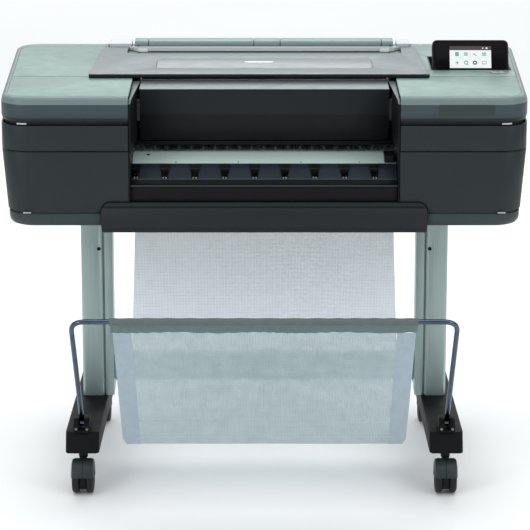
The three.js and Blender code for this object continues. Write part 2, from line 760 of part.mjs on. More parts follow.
function lid() {
  const slab = prism(lidOutline(0), LID_LOW, LID_LOW + LID_THICK);
  const axis = LID_LOW + LID_AXIS_RISE;
  const leftEnd = -LID_LEFT + LID_TAPER;
  const rightEnd = LID_RIGHT - LID_TAPER;
  const barrels = [
    rodX(LID_HINGE_RADIUS, leftEnd, leftEnd + ARM_WIDTH, LID_BACK, axis, 10),
    rodX(LID_HINGE_RADIUS, rightEnd - ARM_WIDTH, rightEnd, LID_BACK, axis, 10),
  ];
  const hollowBack = LID_BACK - NOTCH_DEPTH - 10;
  const hollow = box(
    leftEnd + 10,
    rightEnd - 10,
    LID_FRONT + 10,
    hollowBack,
    LID_LOW - 1,
    LID_LOW + LID_THICK - LID_SKIN,
  );
  const opening = prism(lidWindowShape(GAP), LID_LOW - 1, LID_LOW + LID_THICK + 1);
  return cut(join(slab, ...barrels), hollow, opening);
}

add(body, "lid", lid(), lidGrey);
const lidWindowLow = LID_LOW + LID_THICK - LID_SKIN;
add(body, "lid_window", prism(lidWindowShape(0), lidWindowLow, LID_LOW + LID_THICK), lidClear);

// ---- Chassis ----
const SPINDLE_DEPTH = BODY_DEPTH - SPINDLE_FROM_BACK;
const BEAM_HALF = HALF - BEAM_END;
const PINCH_HEIGHT = FEED_HEIGHT + FEED_RADIUS + PINCH_RADIUS + 0.4;

function sidePlate(side) {
  const low = SHEET_METAL + 1;
  const back = BODY_DEPTH - 80;
  const x0 = side > 0 ? SIDE_PLATE_IN : -SIDE_PLATE_IN - SIDE_PLATE_THICK;
  const x1 = x0 + SIDE_PLATE_THICK;
  const outline = [
    [PLATEN_BACK + 9, low],
    [back, low],
    [back, SPINDLE_HEIGHT + 34],
    [SPINDLE_DEPTH - 90, SPINDLE_HEIGHT + 34],
    [SPINDLE_DEPTH - 120, PINCH_HEIGHT + 14],
    [PLATEN_BACK + 9, PINCH_HEIGHT + 14],
  ];
  const notch = SPINDLE_RADIUS + RUNNING_GAP;
  const d = SPINDLE_DEPTH;
  return cut(
    section(outline, x0, x1),
    rodX(JOURNAL_RADIUS + RUNNING_GAP, x0 - 1, x1 + 1, FEED_DEPTH, FEED_HEIGHT),
    rodX(JOURNAL_RADIUS - 2 + RUNNING_GAP, x0 - 1, x1 + 1, FEED_DEPTH, PINCH_HEIGHT),
    rodX(notch, x0 - 1, x1 + 1, d, SPINDLE_HEIGHT),
    box(x0 - 1, x1 + 1, d - notch, d + notch, SPINDLE_HEIGHT, SPINDLE_HEIGHT + 60),
  );
}

// A folded sheet channel along X, open at the back.
function channel(half, y0, y1, z0, z1) {
  const w = CHANNEL_WALL;
  return cut(
    box(-half, half, y0, y1, z0, z1),
    box(-half - 1, half + 1, y0 + w, y1 + 1, z0 + w, z1 - w),
  );
}

function chassisFrame() {
  const low = SHEET_METAL + 1;
  const beamEnd = BEAM_HALF - 4;
  const upright = (x0) => box(x0, x0 + 12, BEAM_FRONT, BEAM_BACK, low, BEAM_BOTTOM - GAP);
  return join(
    channel(beamEnd, BEAM_FRONT, BEAM_BACK + 30, low, low + 34),
    channel(beamEnd, BODY_DEPTH - 140, BODY_DEPTH - 80, low, low + 34),
    box(-SIDE_PLATE_IN, SIDE_PLATE_IN, 110, BODY_DEPTH - 100, low, low + CHANNEL_WALL),
    channel(SIDE_PLATE_IN - 20, 180, 226, low, PLATEN_TOP - SHEET_METAL - GAP),
    upright(-beamEnd),
    upright(beamEnd - 12),
    sidePlate(-1),
    sidePlate(1),
  );
}

add(body, "chassis_frame", chassisFrame(), steel);

// ---- Carriage beam, belt drive and carriage ----
const PULLEY_X = BEAM_HALF - PULLEY_INSET;
const BELT_BACK = BELT_FRONT + BELT_WIDTH;

function carriageBeam() {
  const posts = [-1, 1].flatMap((side) => {
    const x = side * PULLEY_X;
    return [
      box(x - 12, x + 12, BELT_BACK + 3, BEAM_BACK, BEAM_TOP - 2, PULLEY_HEIGHT + 14),
      rodY(4, x, BELT_FRONT - 1, BELT_BACK + 5, PULLEY_HEIGHT, 12),
    ];
  });
  const w = CHANNEL_WALL;
  const beam = cut(
    box(-BEAM_HALF, BEAM_HALF, BEAM_FRONT, BEAM_BACK, BEAM_BOTTOM, BEAM_TOP),
    box(-BEAM_HALF - 1, BEAM_HALF + 1, BEAM_FRONT + w, BEAM_BACK + 1, BEAM_BOTTOM + w, BEAM_TOP - w),
  );
  return join(beam, ...posts);
}

function beltLoop(radius) {
  const shape = new THREE.Shape();
  shape.moveTo(-PULLEY_X, PULLEY_HEIGHT - radius);
  shape.lineTo(PULLEY_X, PULLEY_HEIGHT - radius);
  shape.absarc(PULLEY_X, PULLEY_HEIGHT, radius, -Math.PI / 2, Math.PI / 2, false);
  shape.lineTo(-PULLEY_X, PULLEY_HEIGHT + radius);
  shape.absarc(-PULLEY_X, PULLEY_HEIGHT, radius, Math.PI / 2, 1.5 * Math.PI, false);
  return shape;
}

function carriageBelt() {
  const inside = PULLEY_RADIUS + 0.5;
  const options = { depth: BELT_WIDTH, bevelEnabled: false, curveSegments: 10 };
  const place = (shape) =>
    new THREE.ExtrudeGeometry(shape, options).rotateX(Math.PI / 2).translate(0, BELT_BACK, 0);
  const space = place(beltLoop(inside)).translate(0, -BELT_BACK, 0).scale(1, 2, 1);
  return cut(place(beltLoop(inside + BELT_THICK)), space.translate(0, BELT_BACK + 4, 0));
}

function pulley(side) {
  const x = side * PULLEY_X;
  const wheel = rodY(PULLEY_RADIUS, x, BELT_FRONT, BELT_BACK, PULLEY_HEIGHT, 20);
  return cut(wheel, rodY(4 + RUNNING_GAP, x, BELT_FRONT - 1, BELT_BACK + 1, PULLEY_HEIGHT, 12));
}

function carriage() {
  const x0 = CARRIAGE_PARK - CARRIAGE_WIDTH / 2;
  const x1 = CARRIAGE_PARK + CARRIAGE_WIDTH / 2;
  const shell = section(
    [
      [CARRIAGE_FRONT, CARRIAGE_BOTTOM + 4],
      [CARRIAGE_BACK, CARRIAGE_BOTTOM + 4],
      [CARRIAGE_BACK, CARRIAGE_TOP],
      [CARRIAGE_FRONT + 30, CARRIAGE_TOP],
      [CARRIAGE_FRONT, CARRIAGE_TOP - 34],
    ],
    x0,
    x1,
  );
  const nozzles = box(x0 + 12, x1 - 12, CARRIAGE_FRONT + 20, CARRIAGE_BACK - 30, CARRIAGE_BOTTOM, 200);
  const saddle = box(x0 + 20, x1 - 20, CARRIAGE_BACK - 2, BELT_FRONT - GAP, BEAM_TOP + 1, BEAM_TOP + 9);
  const clamp = box(x0 + 50, x1 - 50, BELT_FRONT - 9, BELT_FRONT - GAP, BEAM_TOP + 5, PULLEY_HEIGHT + 16);
  return join(shell, nozzles, saddle, clamp);
}

function serviceStation() {
  const x0 = CARRIAGE_PARK - CARRIAGE_WIDTH / 2 - 4;
  const x1 = CARRIAGE_PARK + CARRIAGE_WIDTH / 2 + 4;
  const tub = box(x0, x1, CARRIAGE_FRONT, CARRIAGE_BACK - 6, COVER_BOTTOM + 14, CARRIAGE_BOTTOM - 5);
  const caps = [];
  for (let i = 0; i < 3; i++) {
    const left = x0 + 10 + (i * (x1 - x0 - 14)) / 3;
    const right = left + (x1 - x0 - 38) / 3;
    caps.push(box(left, right, CARRIAGE_FRONT + 18, CARRIAGE_BACK - 36, CARRIAGE_BOTTOM - 16, 200));
  }
  return cut(tub, ...caps);
}

add(body, "carriage_beam", carriageBeam(), steel);
add(body, "carriage_belt", carriageBelt(), rubber);
add(body, "drive_pulley", pulley(1), steel);
add(body, "idler_pulley", pulley(-1), steel);
add(body, "carriage", carriage(), black);
add(body, "service_station", serviceStation(), inkGrey);

// ---- Feed roller, pinch rollers, spindle and roll ----
function feedRoller() {
  const end = SIDE_PLATE_IN + SIDE_PLATE_THICK + 3;
  const drum = rodX(FEED_RADIUS, -SLOT_HALF + 4, SLOT_HALF - 4, FEED_DEPTH, FEED_HEIGHT, 20);
  return join(drum, rodX(JOURNAL_RADIUS, -end, end, FEED_DEPTH, FEED_HEIGHT, 12));
}

function pinchRoller() {
  const end = SIDE_PLATE_IN + SIDE_PLATE_THICK + 2;
  const pieces = [rodX(JOURNAL_RADIUS - 2, -end, end, FEED_DEPTH, PINCH_HEIGHT, 10)];
  const pitch = (2 * SLOT_HALF - 60) / 5;
  for (let i = 0; i < 6; i++) {
    const x = -SLOT_HALF + 30 + i * pitch;
    pieces.push(rodX(PINCH_RADIUS, x - 16, x + 16, FEED_DEPTH, PINCH_HEIGHT, 12));
  }
  return join(...pieces);
}

function spindle() {
  const end = SIDE_PLATE_IN + SIDE_PLATE_THICK + 8;
  const pieces = [rodX(SPINDLE_RADIUS, -end, end, SPINDLE_DEPTH, SPINDLE_HEIGHT)];
  [-1, 1].forEach((side) => {
    const faces = [side * (PAPER_WIDTH / 2 + 1), side * (PAPER_WIDTH / 2 + 7)].sort((a, b) => a - b);
    const core = [side * (PAPER_WIDTH / 2 - 40), side * (PAPER_WIDTH / 2 + 3)].sort((a, b) => a - b);
    pieces.push(rodX(HUB_RADIUS, ...faces, SPINDLE_DEPTH, SPINDLE_HEIGHT, 24));
    pieces.push(rodX(CORE_RADIUS, ...core, SPINDLE_DEPTH, SPINDLE_HEIGHT, 20));
  });
  return join(...pieces);
}

function paperRoll() {
  const half = PAPER_WIDTH / 2;
  const outer = rodX(ROLL_RADIUS, -half, half, SPINDLE_DEPTH, SPINDLE_HEIGHT, 32);
  const bore = rodX(CORE_RADIUS + 1, -half - 1, half + 1, SPINDLE_DEPTH, SPINDLE_HEIGHT, 20);
  return cut(outer, bore);
}

add(body, "feed_roller", feedRoller(), rubber);
add(body, "pinch_roller", pinchRoller(), rubber);
add(body, "spindle", spindle(), inkGrey);
add(body, "paper_roll", paperRoll(), paper);

// ---- Ink cartridges behind the doors, and the electronics ----
function inkCartridges() {
  const x0 = SLOT_HALF + 22;
  const x1 = HALF - 48;
  const low = SEAM_HIGH + 4;
  const count = 3;
  const pitch = (x1 - x0) / count;
  const pieces = [box(x0, x1, DOOR_WRAP + 20, WINDOW_FRONT + 6, low, low + 6)];
  for (let i = 0; i < count; i++) {
    const left = x0 + i * pitch + 4;
    const outline = roundRect(left, low + 5, left + pitch - 8, COVER_TOP - 6, 5);
    pieces.push(panel(outline, DOOR_WRAP + 8, WINDOW_FRONT, 2));
  }
  return join(...pieces);
}

addPair(body, "ink_cartridges", inkCartridges, inkGrey);

function electronicsBox() {
  const low = COVER_BOTTOM + 12;
  const high = low + 105;
  const [x0, x1] = [SLOT_HALF + 42.5, HALF - 62];
  const [y0, y1] = [BEAM_BACK + 34, BODY_DEPTH - 50];
  const w = CHANNEL_WALL;
  return cut(box(x0, x1, y0, y1, low, high), box(x0 + w, x1 - w, y0 + w, y1 - w, low - 1, high - w));
}
add(body, "electronics_box", electronicsBox(), board);

// ---- Stand ----
function footCentre(y) {
  const along = (y - FOOT_FRONT) / (FOOT_BACK - FOOT_FRONT);
  return FOOT_CENTRE_FRONT + (FOOT_CENTRE_BACK - FOOT_CENTRE_FRONT) * along;
}

function leg() {
  const face = LEG_OUT - LEG_FACE;
  const groove = face - LEG_GROOVE;
  const flange = groove - LEG_FLANGE;
  const back = LEG_FRONT + LEG_DEPTH;
  const outline = polygon([
    [face + 3, LEG_FRONT],
    [LEG_OUT - 5, LEG_FRONT],
    [LEG_OUT, LEG_FRONT + 5],
    [LEG_OUT, back],
    [flange, back],
    [flange, LEG_FRONT + 4],
    [groove, LEG_FRONT + 2],
    [groove, LEG_FRONT + 14],
    [face, LEG_FRONT + 14],
    [face, LEG_FRONT + 3],
  ]);
  const low = FOOT_TOP + 0.3;
  const high = BODY_BOTTOM - 0.3;
  const space = box(
    face + LEG_WALL,
    LEG_OUT - LEG_WALL,
    LEG_FRONT + LEG_WALL,
    back - LEG_WALL,
    low - 1,
    high + 1,
  );
  const screwHole = rodY(3, face + 9, LEG_FRONT - 1, LEG_FRONT + LEG_WALL + 1, high - 144, 12);
  return cut(prism(outline, low, high), space, screwHole);
}

function foot() {
  const half = FOOT_WIDTH / 2;
  const front = footCentre(FOOT_FRONT);
  const back = footCentre(FOOT_BACK);
  const outline = (inset) =>
    polygon([
      [front - half + inset + 6, FOOT_FRONT + inset],
      [front + half - inset - 6, FOOT_FRONT + inset],
      [front + half - inset, FOOT_FRONT + 8 + inset],
      [back + half - inset, FOOT_BACK - inset],
      [back - half + inset, FOOT_BACK - inset],
      [front - half + inset, FOOT_FRONT + 8 + inset],
    ]);
  const beam = reshape(prism(outline(0), FOOT_BOTTOM, FOOT_TOP), (point) => {
    if (point.y < FOOT_FRONT + 20 && point.z > FOOT_TOP - 1) point.y += FOOT_NOSE;
  });
  return join(beam, prism(outline(9), FOOT_BOTTOM - FOOT_LIP, FOOT_BOTTOM + 1));
}

function barBracket() {
  const half = 19;
  const front = BAR_PIVOT_DEPTH - 30;
  const back = BAR_PIVOT_DEPTH + 32;
  const low = FOOT_TOP + 0.3;
  const high = BAR_PIVOT_HEIGHT + 13;
  const side = section(
    [
      [front, low],
      [back, low],
      [back, high - 12],
      [back - 14, high],
      [front + 18, high],
      [front, high - 12],
    ],
    BAR_PIVOT_X - half,
    BAR_PIVOT_X + half,
  );
  const slot = BAR_RADIUS + 1;
  const slotLow = BAR_PIVOT_HEIGHT - EYE_RADIUS - 2;
  const space = box(BAR_PIVOT_X - slot, BAR_PIVOT_X + slot, front - 1, back + 1, slotLow, high + 1);
  const pin = rodX(PIN_RADIUS, BAR_PIVOT_X - 14, BAR_PIVOT_X + 14, BAR_PIVOT_DEPTH, BAR_PIVOT_HEIGHT, 12);
  return join(cut(side, space), pin);
}

addPair(stand, "leg", leg, brushed);
addPair(stand, "foot", foot, black);
addPair(stand, "bar_bracket", barBracket, black);

const braceHalf = LEG_OUT - LEG_FACE - LEG_GROOVE - LEG_FLANGE - GAP;
const braceTop = BRACE_BOTTOM + BRACE_HEIGHT;
const braceBack = BRACE_FRONT + BRACE_DEPTH;
function crossBrace() {
  const ring = (inset) =>
    roundRect(
      BRACE_FRONT + inset,
      BRACE_BOTTOM + inset,
      braceBack - inset,
      braceTop - inset,
      5 - inset,
    );
  const hollow = section(ring(LEG_WALL), -braceHalf - 1, braceHalf + 1);
  return cut(section(ring(0), -braceHalf, braceHalf), hollow);
}
add(stand, "cross_brace", crossBrace(), brushed);

// ---- Casters: a web between twin wheels, with a stem up into the foot ----
function casterFork(x, swivel) {
  const wheelY = swivel - WHEEL_TRAIL;
  const web = WHEEL_SPLIT / 2 - RUNNING_GAP;
  const plate = rodX(WHEEL_RADIUS - 8, x - web, x + web, wheelY, WHEEL_RADIUS, 20);
  const neck = section(
    [
      [swivel - 16, WHEEL_RADIUS],
      [swivel + 12, WHEEL_RADIUS + 6],
      [swivel + 12, 2 * WHEEL_RADIUS + 6],
      [swivel - 16, 2 * WHEEL_RADIUS + 6],
    ],
    x - web,
    x + web,
  );
  const stem = rodZ(11, x, swivel, 2 * WHEEL_RADIUS + 2, FOOT_BOTTOM - FOOT_LIP - 0.4);
  const bore = rodX(AXLE_RADIUS + RUNNING_GAP, x - 20, x + 20, wheelY, WHEEL_RADIUS, 16);
  return cut(join(plate, neck, stem), bore);
}

function casterWheel(x, swivel) {
  const inner = WHEEL_SPLIT / 2;
  const outer = WHEEL_WIDTH / 2;
  const r = WHEEL_RADIUS;
  const profile = [
    [0, inner],
    [r - 2, inner],
    [r, inner + 3],
    [r, outer - 6],
    [r - 5, outer],
    [0, outer],
  ].map(([radius, along]) => new THREE.Vector2(radius, along));
  const disc = () => new THREE.LatheGeometry(profile, 20);
  const right = disc().rotateZ(-Math.PI / 2);
  const left = disc().rotateZ(Math.PI / 2);
  const axle = rodX(AXLE_RADIUS, -inner - 2, inner + 2, 0, 0, 12);
  return join(right, left, axle).translate(x, swivel - WHEEL_TRAIL, WHEEL_RADIUS);
}

for (const [end, swivel] of [["front", SWIVEL_FRONT], ["rear", SWIVEL_BACK]]) {
  const x = footCentre(swivel);
  addPair(stand, end + "_caster_fork", () => casterFork(x, swivel), black);
  addPair(stand, end + "_caster_wheel", () => casterWheel(x, swivel), rubber);
}

// ---- Basket: a bent bar on pivots, a front sheet from the bar to the fold, a rear sheet up to a rod ----
const BAR_DEPTH = BAR_PIVOT_DEPTH - BAR_REACH;
const BAR_HEIGHT = BAR_PIVOT_HEIGHT + BAR_RISE;

function basketBar() {
  const pivot = (side) => new THREE.Vector3(side * BAR_PIVOT_X, BAR_PIVOT_DEPTH, BAR_PIVOT_HEIGHT);
  const corner = (side) => new THREE.Vector3(side * BAR_TOP_X, BAR_DEPTH, BAR_HEIGHT);
  const path = new THREE.CurvePath();
  const down = pivot(-1).sub(corner(-1)).normalize().multiplyScalar(BAR_BEND);
  const across = new THREE.Vector3(BAR_BEND, 0, 0);
  const leftLow = corner(-1).add(down);
  const leftHigh = corner(-1).add(across);
  const rightLow = leftLow.clone().setX(-leftLow.x);
  const rightHigh = leftHigh.clone().setX(-leftHigh.x);
  path.add(new THREE.LineCurve3(pivot(-1), leftLow));
  path.add(new THREE.QuadraticBezierCurve3(leftLow, corner(-1), leftHigh));
  path.add(new THREE.LineCurve3(leftHigh, rightHigh));
  path.add(new THREE.QuadraticBezierCurve3(rightHigh, corner(1), rightLow));
  path.add(new THREE.LineCurve3(rightLow, pivot(1)));
  const ring = new THREE.Shape().absarc(0, 0, BAR_RADIUS, 0, 2 * Math.PI, false);
  const options = { extrudePath: path, steps: 64, curveSegments: 5, bevelEnabled: false };
  const tube = new THREE.ExtrudeGeometry(ring, options);
  const eyes = [-1, 1].map((side) => {
    const x = side * BAR_PIVOT_X;
    return rodX(EYE_RADIUS, x - 5, x + 5, BAR_PIVOT_DEPTH, BAR_PIVOT_HEIGHT, 16);
  });
  const bores = [-1, 1].map((side) => {
    const x = side * BAR_PIVOT_X;
    return rodX(PIN_RADIUS + RUNNING_GAP, x - 12, x + 12, BAR_PIVOT_DEPTH, BAR_PIVOT_HEIGHT, 12);
  });
  return cut(join(tube, ...eyes), ...bores);
}

// A flat sheet between two lines across the machine.
function sheet([y0, z0], [y1, z1], lowHalf, highHalf) {
  const along = new THREE.Vector2(y1 - y0, z1 - z0).normalize();
  const nx = (-along.y * CLOTH) / 2;
  const nz = (along.x * CLOTH) / 2;
  const profile = [
    [y0 + nx, z0 + nz],
    [y0 - nx, z0 - nz],
    [y1 - nx, z1 - nz],
    [y1 + nx, z1 + nz],
  ];
  return reshape(section(profile, -highHalf, highHalf), (point) => {
    const rise = THREE.MathUtils.clamp((point.z - z0) / (z1 - z0), 0, 1);
    point.x *= (lowHalf + (highHalf - lowHalf) * rise) / highHalf;
  });
}

const REAR_ROD_HEIGHT = BODY_BOTTOM - REAR_ROD_DROP;
const barEdge = BAR_RADIUS + CLOTH;
const frontTop = [BAR_DEPTH + 2, BAR_HEIGHT - barEdge];
const frontSheet = sheet([FOLD_DEPTH - 3, FOLD_HEIGHT + 2], frontTop, BASKET_BOTTOM_HALF, BASKET_TOP_HALF);
const rearTop = [REAR_ROD_DEPTH - 8, REAR_ROD_HEIGHT - 8];
const rearLow = [FOLD_DEPTH + 6, FOLD_HEIGHT + 4];

add(stand, "basket_bar", basketBar(), chrome);
add(stand, "basket_front_sheet", frontSheet, netting);
add(stand, "basket_rear_sheet", sheet(rearLow, rearTop, REAR_SHEET_HALF, REAR_SHEET_HALF), netting);

function rearRod() {
  const half = REAR_SHEET_HALF + 14;
  const rod = rodX(REAR_ROD_RADIUS, -half, half, REAR_ROD_DEPTH, REAR_ROD_HEIGHT, 12);
  const hooks = [-1, 1].map((side) => {
    const x = side * (half - 5);
    return box(x - 3, x + 3, REAR_ROD_DEPTH - 4, REAR_ROD_DEPTH + 4, REAR_ROD_HEIGHT, BODY_BOTTOM - 0.4);
  });
  return join(rod, ...hooks);
}
add(stand, "basket_rear_rod", rearRod(), steel);

// The origin is at the middle of the overall depth, from the basket bar to the back.
const OVERALL_FRONT = BAR_DEPTH - BAR_RADIUS;
plotter.position.y = -(OVERALL_FRONT + BODY_DEPTH) / 2;
const machine = new THREE.Group();
machine.add(plotter);

export default machine;
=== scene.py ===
"""A large format plotter on a wheeled stand, finished and lit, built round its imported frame."""

import json
import math

import bmesh
import bpy
from mathutils import Matrix, Vector


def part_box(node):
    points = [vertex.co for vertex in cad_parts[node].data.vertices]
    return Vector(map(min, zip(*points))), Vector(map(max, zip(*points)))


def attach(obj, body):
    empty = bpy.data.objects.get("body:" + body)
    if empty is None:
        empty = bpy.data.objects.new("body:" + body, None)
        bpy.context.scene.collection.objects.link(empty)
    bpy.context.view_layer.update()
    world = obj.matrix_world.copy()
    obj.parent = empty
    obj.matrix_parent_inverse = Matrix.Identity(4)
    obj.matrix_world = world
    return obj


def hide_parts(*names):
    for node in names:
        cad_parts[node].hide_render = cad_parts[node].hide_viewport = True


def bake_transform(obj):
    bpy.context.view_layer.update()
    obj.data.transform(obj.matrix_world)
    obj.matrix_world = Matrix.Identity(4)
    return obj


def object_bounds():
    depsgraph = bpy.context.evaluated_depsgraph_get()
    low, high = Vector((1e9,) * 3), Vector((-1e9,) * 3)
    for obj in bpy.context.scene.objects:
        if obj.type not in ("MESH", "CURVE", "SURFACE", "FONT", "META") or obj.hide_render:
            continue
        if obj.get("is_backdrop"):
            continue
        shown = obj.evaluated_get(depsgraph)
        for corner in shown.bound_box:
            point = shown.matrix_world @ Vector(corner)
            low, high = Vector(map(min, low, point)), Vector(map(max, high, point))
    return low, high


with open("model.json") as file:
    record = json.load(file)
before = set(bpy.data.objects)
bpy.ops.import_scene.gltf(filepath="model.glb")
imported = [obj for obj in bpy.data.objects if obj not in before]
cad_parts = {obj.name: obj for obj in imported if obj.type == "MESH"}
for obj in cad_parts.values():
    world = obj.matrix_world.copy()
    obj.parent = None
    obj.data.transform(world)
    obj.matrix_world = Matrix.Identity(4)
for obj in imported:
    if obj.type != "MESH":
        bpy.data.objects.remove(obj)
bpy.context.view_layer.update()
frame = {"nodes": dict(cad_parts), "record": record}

NODES = frame["nodes"]
RECORD = frame["record"]
SLOT_OF = {part["node"]: part["material_slot"] for part in RECORD["subparts"]}
BODY_OF = {node: body for body, nodes in RECORD["behaviour"]["bodies"].items() for node in nodes}

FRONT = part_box("right_ink_door")[0].y
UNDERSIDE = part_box("base_tray")[0].z
HALF_WIDTH, SLOT_EDGE, BODY_DEPTH = 601, 309.5, 700
SIDES = {"left": -1, "right": 1}
SHARP = math.radians(32)


def at(across, depth, height):
    """A place on the printer: across, behind its front face and above its underside, in millimetres."""
    return Vector((across / 1000, FRONT + depth / 1000, UNDERSIDE + height / 1000))


def on_floor(across, depth, height):
    """A place on the stand: the same, but above the floor."""
    return Vector((across / 1000, FRONT + depth / 1000, height / 1000))


# ---- Shapes ----
def block(low, high, edge=0.0, segments=2):
    """A block between two corners, with its edges rounded."""
    shape = bmesh.new()
    bmesh.ops.create_cube(shape, size=1)
    bmesh.ops.scale(shape, vec=high - low, verts=shape.verts)
    bmesh.ops.translate(shape, vec=(low + high) / 2, verts=shape.verts)
    if edge:
        round_edges(shape, shape.edges[:], edge, segments)
    return shape


def round_edges(shape, edges, width, segments=2):
    """Rounds the edges, width in metres."""
    bmesh.ops.bevel(
        shape,
        geom=edges,
        offset=width,
        segments=segments,
        profile=0.5,
        affect="EDGES",
        material=-1,
    )


def sharp_edges(shape, angle):
    """The edges where two faces turn by more than an angle, in radians."""
    return [e for e in shape.edges if len(e.link_faces) == 2 and e.calc_face_angle() > angle]


def open_edges(shape):
    return [e for e in shape.edges if e.is_boundary]


def plate(low, high, corner, axis=2, edge=0.0003):
    """A flat plate with rounded corners round one axis and softened rims."""
    shape = block(low, high)
    along = [
        e for e in shape.edges if abs((e.verts[0].co - e.verts[1].co).normalized()[axis]) > 0.9
    ]
    round_edges(shape, along, corner, 6)
    shape.normal_update()
    rims = [
        e
        for e in shape.edges
        if len(e.link_faces) == 2 and sum(abs(f.normal[axis]) > 0.9 for f in e.link_faces) == 1
    ]
    round_edges(shape, rims, edge, 1)
    return shape


def turned(outline, centre, axis="X", start=0.0, sweep=360.0, steps=32, closed=False):
    """An outline of (radius, place along the axis) in millimetres, spun round an axis."""
    shape = bmesh.new()
    corners = [shape.verts.new((radius / 1000, 0, along / 1000)) for radius, along in outline]
    ends = corners[1:] + corners[:1] if closed else corners[1:]
    for first, second in zip(corners, ends):
        shape.edges.new((first, second))
    whole = sweep >= 360
    if closed and not whole:
        shape.faces.new(corners)
    bmesh.ops.spin(
        shape,
        geom=shape.verts[:] + shape.edges[:] + shape.faces[:],
        cent=(0, 0, 0),
        axis=(0, 0, 1),
        angle=math.radians(sweep),
        steps=steps,
        use_merge=whole,
    )
    bmesh.ops.remove_doubles(shape, verts=shape.verts, dist=1e-6)
    bmesh.ops.recalc_face_normals(shape, faces=shape.faces)
    matrix = Matrix.Rotation(math.radians(start), 4, "Z")
    if axis == "X":
        matrix = Matrix.Rotation(math.radians(90), 4, "Y") @ matrix
    if axis == "Y":
        matrix = Matrix.Rotation(math.radians(-90), 4, "X") @ matrix
    bmesh.ops.transform(shape, matrix=Matrix.Translation(centre) @ matrix, verts=shape.verts)
    return shape


def rod(radius, centre, half, axis="X", edge=0.4, steps=20):
    """A round bar with softened ends, in millimetres."""
    outline = [(0, -half), (radius - edge, -half), (radius, edge - half)]
    outline += [(radius, half - edge), (radius - edge, half), (0, half)]
    return turned(outline, centre, axis, steps=steps)


def screw_head(centre, facing, radius=4.0):
    """A low domed screw head with a round drive recess."""
    shape = bmesh.new()
    size = radius / 1000
    bmesh.ops.create_cone(
        shape, cap_ends=True, segments=20, radius1=size, radius2=0.82 * size, depth=0.5 * size
    )
    top = max(shape.faces, key=lambda face: face.calc_center_median().z)
    bmesh.ops.inset_individual(shape, faces=[top], thickness=0.42 * size)
    bmesh.ops.translate(shape, vec=(0, 0, -0.34 * size), verts=top.verts)
    turn = Vector((0, 0, 1)).rotation_difference(Vector(facing)).to_matrix().to_4x4()
    place = Matrix.Translation(centre + Vector(facing).normalized() * 0.2 * size)
    bmesh.ops.transform(shape, matrix=place @ turn, verts=shape.verts)
    return shape


def mirrored(shape):
    """The same shape on the other side of the machine."""
    twin = shape.copy()
    bmesh.ops.scale(twin, vec=(-1, 1, 1), verts=twin.verts)
    bmesh.ops.reverse_faces(twin, faces=twin.faces)
    return twin


# ---- Finishes ----
def tone(red, green, blue):
    """A colour as it looks on a screen, 0 to 255, turned into linear light."""
    return tuple(((c / 255 + 0.055) / 1.055) ** 2.4 for c in (red, green, blue))


def shaded(colour, share):
    """The colour made lighter or darker, with full opacity."""
    return tuple(min(1.0, c * share) for c in colour[:3]) + (1.0,)


